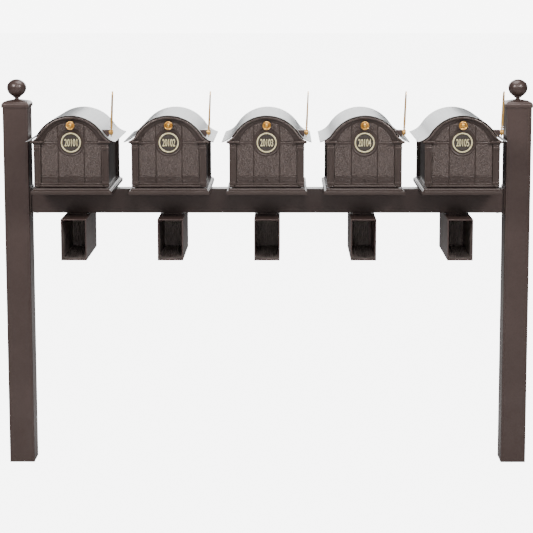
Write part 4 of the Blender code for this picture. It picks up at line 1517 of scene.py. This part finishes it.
@dataclass
class Shell:
    """Mailbox body: moulded base, side walls, the frame behind the door and the hinge ears."""

    half_width: float = 0.1885
    half_depth: float = 0.2540
    ledge_top: float = 0.0300
    setback: float = 0.0135
    floor: float = 0.0040
    wall: Span = (0.1560, 0.1600)
    frame_front: float = 0.2247
    frame_depth: float = 0.0040
    frame_half: float = 0.1620
    frame_band: float = 0.0120
    sill_top: float = 0.0350
    under_roof: float = 0.0043
    ear_radius: float = 0.0042
    ear_width: float = 0.0080
    bolt_place: Point = (0.105, 0.022)      # from the middle, along X and Y

    def base_levels(self) -> list[Level]:
        """Rectangles from the floor, up out of the tray, over the ledge and down to the underside.

        Returns:
            The rectangles.
        """
        tray_x, tray_y = self.wall[0] - 0.001, self.frame_front - self.frame_depth - 0.002
        levels = [(-tray_x, tray_x, -tray_y, tray_y, z) for z in (self.floor, self.ledge_top)]
        step_in, step_z, steps = 0.0030, 0.0186, 10
        rim: list[Point] = [(self.setback, self.ledge_top)]
        for step in range(steps + 1):
            turn = math.pi / 2 * (1 - step / steps)
            inset = step_in + (self.setback - step_in) * math.sin(turn)
            rim.append((inset, step_z + (self.ledge_top - 0.0012 - step_z) * (1 - math.cos(turn))))
        rim += [(0.0030, 0.0168), (0.0018, 0.0164), (0.0006, 0.0154), (0.0, 0.0140)]
        rim += [(0.0, 0.0022), (0.0006, 0.0008), (0.0018, 0.0)]
        for inset, z in rim:
            wide, deep = self.half_width - inset, self.half_depth - inset
            levels.append((-wide, wide, -deep, deep, z))
        return levels

    def shape(self, door: Door) -> Form:
        """The whole body about its bottom centre.

        Args:
            door: The door that it carries.

        Returns:
            The body.
        """
        form = Form.tower(self.base_levels())
        wall_top = CURVE.height(self.wall[1], self.under_roof) - 0.0003
        root = self.ledge_top - 0.003
        side = Form.block(self.wall, (-self.frame_front + 0.001, self.frame_front), (root, wall_top))
        bead = Form.rod(0.0016, (-self.frame_front + 0.004, self.frame_front), 12, Turn.Y)
        side.softened(0.0005).join(bead.moved((self.wall[1], 0, self.ledge_top + 0.0006)))
        form.join(side.both_sides(), self.door_frame(root), self.ears(door))
        return form

    def door_frame(self, root: float) -> Form:
        """Arched frame that the door closes against, with its sill.

        Args:
            root: Height where it starts, inside the ledge.

        Returns:
            The frame.
        """
        inner_half = self.frame_half - self.frame_band
        outer = CURVE.arched(self.frame_half, self.under_roof, root)
        inner = CURVE.arched(inner_half, self.under_roof + self.frame_band, root)
        depth = (-self.frame_front, -self.frame_front + self.frame_depth)
        form = Form.prism(outer + inner[::-1], depth).softened(0.0006)
        sill = Form.block((-inner_half - JOIN, inner_half + JOIN), depth, (root, self.sill_top))
        return form.join(sill.softened(0.0006))

    def ears(self, door: Door) -> Form:
        """The two ears that hold the hinge rod.

        Args:
            door: The door that they carry.

        Returns:
            The ears.
        """
        eye = arc((door.hinge_y, door.hinge_z), self.ear_radius, 90, 270, 14)
        tail = -self.frame_front + self.frame_depth / 2
        outline = [(tail, door.hinge_z + self.ear_radius), *eye, (tail, door.hinge_z - self.ear_radius)]
        span = (door.ear_centre - self.ear_width / 2, door.ear_centre + self.ear_width / 2)
        return Form.prism(outline, span, Turn.X).softened(0.0005).both_sides()

    def floor_bolts(self) -> Form:
        """Bolts that hold the mailbox to the beam, seen inside on the floor.

        Returns:
            The bolt heads.
        """
        form = Form()
        bolt_x, bolt_y = self.bolt_place
        for x in (-bolt_x, bolt_x):
            for y in (-bolt_y, bolt_y):
                form.join(hex_bolt(0.0065, 0.0052).moved((x, y, self.floor)))
        return form


@dataclass
class RoofSheet:
    """Bell-curved sheet roof over the whole depth."""

    thickness: float = 0.0040
    half_depth: float = 0.2540

    def shape(self) -> Form:
        """The sheet about the mailbox's bottom centre, its top in the first finish.

        Returns:
            The roof.
        """
        outline = CURVE.section(0.0) + CURVE.section(self.thickness)[::-1]
        form = Form.prism(outline, (-self.half_depth, self.half_depth)).softened(0.0010)
        form.finish_with(1)
        # Only the upward-facing faces take the pale grey, a painted reflection on the bronze sheet; edges and
        # underside keep the bronze.
        return form.finish_with(0, lambda normal, middle: normal.z > 0.25)


@dataclass
class Plaque:
    """Round number plaque: a raised rim, a dark field and five digits."""

    radius: float = 0.0468
    rim: float = 0.0062
    depth: float = 0.0060
    field_depth: float = 0.0036
    digits: Point = (0.0600, 0.0345)        # overall width and height
    weight: float = 0.006

    def shape(self, number: int) -> Form:
        """The plaque with its number, its back at the origin, facing -Y.

        Args:
            number: The number.

        Returns:
            The plaque.
        """
        inner, soft = self.radius - self.rim, 0.0016
        deep = self.depth
        rim = [(inner, -0.0010), (inner, -deep + soft)]
        rim += [(inner + 0.4 * soft, -deep + 0.4 * soft), (inner + soft, -deep)]
        rim += [(self.radius - soft, -deep), (self.radius - 0.4 * soft, -deep + 0.4 * soft)]
        rim += [(self.radius, -deep + soft), (self.radius, 0), (inner, 0), (inner, -0.0010)]
        form = Form.turned(rim, 96, Turn.Y)
        groove = 0.0020
        disc = [(0, 0), (inner + JOIN, 0), (inner + JOIN, -groove), (inner - groove, -groove)]
        disc += [(inner - groove, -self.field_depth + JOIN), (inner - groove - JOIN, -self.field_depth)]
        disc += [(0, -self.field_depth)]
        form.join(Form.turned(disc, 96, Turn.Y).finish_with(1))
        stand = self.depth - self.field_depth - 0.0002
        text = Form.lettering(str(number), *self.digits, stand + JOIN, self.weight)
        return form.join(text.moved((0, -self.field_depth + JOIN, 0)))


@dataclass
class Knob:
    """Turned gold pull: a rose, a stem and a dished head with a domed middle."""

    outline: tuple[Point, ...] = (
        (0, -0.0012), (0.0120, -0.0012), (0.0120, 0.0016), (0.0110, 0.0028), (0.0078, 0.0034),
        (0.0067, 0.0050), (0.0067, 0.0085), (0.0083, 0.0118), (0.0132, 0.0152), (0.0182, 0.0188),
        (0.0203, 0.0216), (0.0207, 0.0242), (0.0203, 0.0266), (0.0190, 0.0285), (0.0174, 0.0290),
        (0.0156, 0.0280), (0.0142, 0.0266), (0.0132, 0.0262), (0.0122, 0.0272), (0.0104, 0.0312),
        (0.0068, 0.0350), (0, 0.0370),
    )

    def shape(self) -> Form:
        """The knob with its back at the origin, facing -Y."""
        return Form.turned([(radius, -along) for radius, along in self.outline], 64, Turn.Y)


@dataclass
class Flag:
    """Gold signal flag, raised, and the lug on the roof that carries its axle."""

    lug_face: float = 0.1765
    gap: float = 0.0003
    axle: Point = (0.0040, 0.0170)      # radius and length
    hub: Point = (0.0125, 0.0180)       # radius and width
    lean: float = 2.4
    reach: float = 0.1920
    tail: float = 0.0225
    lug_length: float = 0.0250
    lug_rise: float = 0.0115
    lug_foot: float = 0.1720
    lug_chin: float = 0.0140
    axle_place: Point = (-0.2050, 0.2900)       # y and height above the mailbox's bottom

    def shape(self) -> Form:
        """The flag about its axle's line, x measured from the mailbox's middle.

        Returns:
            The flag.
        """
        radius, width = self.hub
        near = self.lug_face + self.gap
        far = near + width
        axle_radius, axle_length = self.axle
        root = self.lug_face - axle_length
        profile = [(0, root), (axle_radius, root), (axle_radius, near)]
        profile += [(radius - 0.0022, near), (radius - 0.0006, near + 0.0010), (radius, near + 0.0030)]
        profile += [(radius, near + 0.0050), (radius - 0.0012, near + 0.0058)]
        profile += [(radius - 0.0012, far - 0.0058)]
        profile += [(radius, far - 0.0050), (radius, far - 0.0030), (radius - 0.0010, far - 0.0012)]
        profile += [(radius - 0.0034, far - 0.0002), (radius * 0.42, far - 0.0010)]
        profile += [(radius * 0.36, far), (0, far)]
        form = Form.turned(profile, 48, Turn.X)
        form.join(self.blade(near + width / 2))
        return form

    def blade(self, middle: float) -> Form:
        """Tapered blade above the hub and the pointed tail below it.

        Args:
            middle: Middle of the hub, from the mailbox's middle.

        Returns:
            The blade and the tail.
        """
        lean = math.tan(math.radians(self.lean))

        def level(z: float, thickness: float, depth: float) -> Level:
            """A rectangle about the leaning centre line."""
            x = middle + lean * z
            return (x - thickness / 2, x + thickness / 2, -depth / 2, depth / 2, z)

        root = self.hub[0] / 2
        blade = Form.tower([
            level(root, 0.0072, 0.0125), level(0.0240, 0.0068, 0.0115), level(0.0300, 0.0082, 0.0150),
            level(0.0360, 0.0090, 0.0205), level(0.0460, 0.0088, 0.0240), level(0.1580, 0.0058, 0.0336),
            level(0.1780, 0.0055, 0.0326), level(0.1870, 0.0054, 0.0250), level(self.reach, 0.0052, 0.0130),
        ]).softened(0.0011, 12.0)
        tail = Form.tower([
            level(-self.tail, 0.0022, 0.0022), level(-self.tail + 0.0060, 0.0052, 0.0056),
            level(-root, 0.0088, 0.0108),
        ]).softened(0.0010, 12.0)
        rim = [(0, 0.0208), (0.0062, 0.0208), (0.0074, 0.0222), (0.0062, 0.0236), (0, 0.0236)]
        ring = Form.turned(rim, 32).moved((middle + lean * 0.022, 0, 0))
        return blade.join(tail, ring)

    def lug(self) -> Form:
        """The lug, its seat on the roof's flare, about the axle in Y and the mailbox's bottom in Z.

        Returns:
            The lug.
        """
        axle_height = self.axle_place[1]
        section = CURVE.section(-self.gap)
        top = axle_height + self.lug_rise
        seat = [(x, z) for x, z in section if x > 0 and z < top and x < self.lug_foot - 0.001]
        before = max((x, z) for x, z in section if x > 0 and z >= top)
        share = (before[1] - top) / (before[1] - seat[0][1])
        start = (before[0] + (seat[0][0] - before[0]) * share, top)
        foot = (self.lug_foot, CURVE.height(self.lug_foot, -self.gap))
        outline = [start, *seat, foot, (self.lug_face, axle_height - self.lug_chin), (self.lug_face, top)]
        half = self.lug_length / 2
        return Form.prism(outline, (-half, half)).softened(0.0011)


@dataclass
class NewspaperBox:
    """Open-fronted box with a hemmed rim, a ribbed floor and back, bolted under the beam."""

    wall: float = 0.0030
    hem: Span = (0.0052, 0.0140)        # thickness and depth of the rolled rim
    pad: Point = (0.0900, 0.0700)
    pad_height: float = 0.0067
    rib_pitch: float = 0.0095
    rib: float = 0.0015
    bolt_y: float = 0.020

    def shape(self, size: Vector) -> Form:
        """The box and its pad, the front at -Y and the box's top at z = 0, from its overall size.

        Args:
            size: Size of the box with its pad.

        Returns:
            The box.
        """
        height, depth = size.z - self.pad_height, size.y
        half_x, half_z = size.x / 2, height / 2
        hem, hem_depth = self.hem

        def ring(inset: float, along: float) -> Level:
            """A rectangle of the box at a distance from its back."""
            return (inset - half_x, half_x - inset, inset - half_z, half_z - inset, along)

        levels = [ring(self.wall, self.wall), ring(self.wall, depth - hem_depth - 0.0012)]
        levels += [ring(hem, depth - hem_depth), ring(hem, depth), ring(0.0, depth), ring(0.0, 0.0)]
        form = Form.tower(levels).softened(0.0010).turn(90, Turn.X).moved((0, depth / 2, -half_z))
        inside = half_x - self.wall / 2, height / 2 - self.wall / 2, depth / 2 - self.wall / 2

        def within(normal: Vector, middle: Vector) -> bool:
            """Whether a face belongs to the cavity behind the rim."""
            deep = abs(middle.x) < inside[0] and abs(middle.z + half_z) < inside[1]
            return deep and hem_depth - depth / 2 < middle.y < inside[2]

        # The cavity and its ribs take the second finish: the bronze painted paler as painted light.
        form.finish_with(1, within)
        floor = -height + self.wall
        length = (-depth / 2 + hem_depth + 0.002, depth / 2 - self.wall)
        count = int((half_x - self.wall - self.rib) / self.rib_pitch)
        ribs = Form()
        for number in range(-count, count + 1):
            x = number * self.rib_pitch
            ribs.join(Form.rod(self.rib, length, 8, Turn.Y).moved((x, 0, floor)))
            back = Form.rod(self.rib, (floor, -self.wall), 8, Turn.Z)
            ribs.join(back.moved((x, depth / 2 - self.wall, 0)))
        form.join(ribs.finish_with(1))
        pad_x, pad_y = self.pad[0] / 2, self.pad[1] / 2
        pad = Form.block((-pad_x, pad_x), (-pad_y, pad_y), (-self.wall / 2, self.pad_height))
        return form.join(pad.softened(0.0009))

    def bolts(self) -> Form:
        """Two bolts under the box's top.

        Returns:
            The bolt heads.
        """
        form = Form()
        for y in (-self.bolt_y, self.bolt_y):
            form.join(hex_bolt(0.0060, 0.0048).turn(180, Turn.X).moved((0, y, -self.wall)))
        return form


@dataclass
class MailboxRow:
    """The five mailboxes with their doors, flags and newspaper boxes."""

    count: int = 5
    first_number: int = 20101
    shell: Shell = field(default_factory=Shell)
    door: Door = field(default_factory=Door)
    rear: RearPanel = field(default_factory=RearPanel)
    flag: Flag = field(default_factory=Flag)
    paper: NewspaperBox = field(default_factory=NewspaperBox)

    def build(self) -> None:
        """Shapes every piece once and sets it down at each place."""
        shapes = {
            "shell": self.shell.shape(self.door), "roof": RoofSheet().shape(), "door": self.door.shape(),
            "rear": self.rear.shape(), "screws": self.rear.screws(), "floor_bolts": self.shell.floor_bolts(),
            "knob": Knob().shape(), "flag": self.flag.shape(), "lug": self.flag.lug(), "rod": self.door.rod(),
        }
        low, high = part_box("newspaper_box_1")
        paper, bolts = self.paper.shape(high - low), self.paper.bolts()
        for number in range(1, self.count + 1):
            self.set_mailbox(number, shapes)
            low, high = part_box(f"newspaper_box_{number}")
            top = high.z - self.paper.pad_height
            spot = ((low.x + high.x) / 2, (low.y + high.y) / 2, top)
            name = f"newspaper_box_{number}"
            fixed(paper.copy().moved(spot), f"{name}_shell", STAND, (BRONZE, INSIDE_BRONZE_PAINTED_LIGHT), name)
            fixed(bolts.copy().moved(spot), f"{name}_bolts", STAND, (BOLT_STEEL,))

    def set_mailbox(self, number: int, shapes: dict[str, Form]) -> None:
        """Sets one mailbox's pieces down.

        Args:
            number: Its number along the beam, from the left.
            shapes: The shapes that every mailbox shares.
        """
        name = f"mailbox_{number}"
        door, flag = f"door_{number}", f"flag_{number}"
        low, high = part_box(f"{name}_body")
        place = Vector(((low.x + high.x) / 2, (low.y + high.y) / 2, low.z))
        cast, panel = CAST_BRONZE_SHADED, STIPPLED_BRONZE_SHADED

        def put(
            shape: str, piece: str, body: str, finishes: Sequence[Finish], lift: Sequence[float],
            *nodes: str,
        ) -> None:
            """Sets a copy of a shape down at this mailbox's place plus a lift."""
            spot = place + Vector(lift)
            fixed(shapes[shape].copy().moved(spot), f"{name}_{piece}", body, finishes, *nodes)

        put("shell", "base_and_walls", STAND, (cast,), (0, 0, 0), f"{name}_body")
        put("roof", "bell_roof", STAND, (ROOF, cast), (0, 0, 0), f"{name}_roof")
        put("rear", "rear_casting", STAND, (cast, panel), (0, 0, 0), f"{name}_rear_panel")
        put("screws", "rear_screws", STAND, (BOLT_STEEL,), (0, 0, 0))
        put("floor_bolts", "floor_bolts", STAND, (BOLT_STEEL,), (0, 0, 0))
        put("door", "front_casting", door, (cast, panel), (0, 0, 0), f"{name}_door")
        put("rod", "rod", STAND, (ROD_STEEL,), (0, self.door.hinge_y, self.door.hinge_z), f"{name}_hinge_rod")
        put("knob", "turned_knob", door, (TURNED_GOLD,), (0, *KNOB_PLACE), f"{name}_knob")
        put("lug", "lug_block", STAND, (BRONZE,), (0, self.flag.axle_place[0], 0), f"{name}_flag_lug")
        put("flag", "signal_flag", flag, (GOLD,), (0, *self.flag.axle_place), f"{name}_flag")
        plaque = Plaque().shape(self.first_number + number - 1).moved(place + Vector((0, *PLAQUE_PLACE)))
        fixed(plaque, f"{name}_plaque", door, (ENAMEL, DARK_FIELD), f"{name}_number_plaque")


# ---------------------------------------------------------------- studio


@dataclass
class Studio:
    """Pale floor, soft light all round and the camera."""

    lens: float = 105.0
    camera_place: tuple[float, float, float] = (0.088, -7.448, 2.356)
    tilt: float = 7.052
    yaw: float = 0.113
    shift: Point = (-0.03, -0.18)
    floor_size: float = 60.0
    floor_tone: float = 0.42
    sky: float = 0.17
    backdrop: float = 7.5

    def build(self) -> None:
        """Makes the floor, the surroundings, the lights and the camera."""
        self.floor()
        self.surroundings()
        self.lamp("left_key", (-4.0, -4.3, 5.2), 1.8, 470.0)
        self.lamp("right_key", (3.8, -4.5, 5.0), 1.8, 410.0)
        self.lamp("fill", (0.4, -5.6, 5.0), 1.6, 150.0)
        self.lamp("low", (0.0, -6.4, 1.8), 2.0, 26.0)
        self.lamp("top", (0.2, 0.4, 5.4), 3.2, 190.0)
        self.lamp("rear", (0.0, 5.5, 3.4), 3.0, 160.0)
        self.camera()

    def floor(self) -> None:
        """A plain pale floor."""
        reach = (-self.floor_size, self.floor_size)
        form = Form.block(reach, reach, (-0.02, 0.0))
        mesh = bpy.data.meshes.new("floor")
        form.mesh.to_mesh(mesh)
        form.mesh.free()
        mesh.materials.append(self.floor_paint())
        floor = bpy.data.objects.new("floor", mesh)
        bpy.context.scene.collection.objects.link(floor)

    def floor_paint(self) -> bpy.types.Material:
        """Pale paint, lit up where the camera looks straight at it so that it meets the backdrop.

        Returns:
            The material.
        """
        graph = Graph("pale_floor")
        tone = (self.floor_tone,) * 3 + (1.0,)
        inputs = {"Base Color": tone, "Roughness": 0.9, "Specular IOR Level": 0.1}
        paint = graph.node("ShaderNodeBsdfPrincipled", {}, inputs)
        glow = graph.node("ShaderNodeEmission", {}, {"Strength": self.backdrop})
        path = graph.node("ShaderNodeLightPath", {}, {})
        share = Value(graph, path.outputs["Is Camera Ray"]) * 0.9
        mixed = graph.node("ShaderNodeMixShader", {}, {0: share, 1: paint.outputs[0], 2: glow.outputs[0]})
        graph.node("ShaderNodeOutputMaterial", {}, {"Surface": mixed.outputs[0]})
        return graph.material

    def surroundings(self) -> None:
        """Even white light all round, brighter where the camera looks straight at it."""
        world = bpy.data.worlds.new("studio")
        bpy.context.scene.world = world
        world.use_nodes = True
        tree = world.node_tree
        tree.nodes.clear()
        light, backdrop = (tree.nodes.new("ShaderNodeBackground") for _ in range(2))
        light.inputs["Strength"].default_value = self.sky
        backdrop.inputs["Strength"].default_value = self.backdrop
        for node in (light, backdrop):
            node.inputs["Color"].default_value = (1.0, 1.0, 1.0, 1.0)
        path, mix = tree.nodes.new("ShaderNodeLightPath"), tree.nodes.new("ShaderNodeMixShader")
        out = tree.nodes.new("ShaderNodeOutputWorld")
        tree.links.new(path.outputs["Is Camera Ray"], mix.inputs[0])
        tree.links.new(light.outputs[0], mix.inputs[1])
        tree.links.new(backdrop.outputs[0], mix.inputs[2])
        tree.links.new(mix.outputs[0], out.inputs["Surface"])

    def lamp(self, name: str, place: tuple[float, float, float], size: float, power: float) -> None:
        """A square soft lamp that looks at the middle of the mailboxes.

        Args:
            name: Its name.
            place: Where it stands.
            size: Its side.
            power: Its power in watts.
        """
        light = bpy.data.lights.new(name, "AREA")
        light.size = size
        light.energy = power
        lamp = bpy.data.objects.new(name, light)
        lamp.location = place
        aim = Vector((0.0, 0.0, 1.3)) - Vector(place)
        lamp.rotation_euler = aim.to_track_quat("-Z", "Y").to_euler()
        bpy.context.scene.collection.objects.link(lamp)

    def camera(self) -> None:
        """The camera, a little above the mailboxes and looking slightly down."""
        lens = bpy.data.cameras.new("camera")
        lens.lens = self.lens
        lens.sensor_width = 36.0
        lens.shift_x, lens.shift_y = self.shift
        lens.clip_end = 200.0
        camera = bpy.data.objects.new("camera", lens)
        camera.location = self.camera_place
        camera.rotation_euler = (math.radians(90.0 - self.tilt), 0.0, math.radians(self.yaw))
        bpy.context.scene.collection.objects.link(camera)
        bpy.context.scene.camera = camera


def main() -> None:
    """Builds the unit and the studio."""
    logging.basicConfig(level=logging.INFO, format="%(name)s: %(message)s")
    for side in ("left", "right"):
        Post(side).build()
    Beam().build()
    MailboxRow().build()
    Studio().build()


if __name__ == "__main__":
    main()
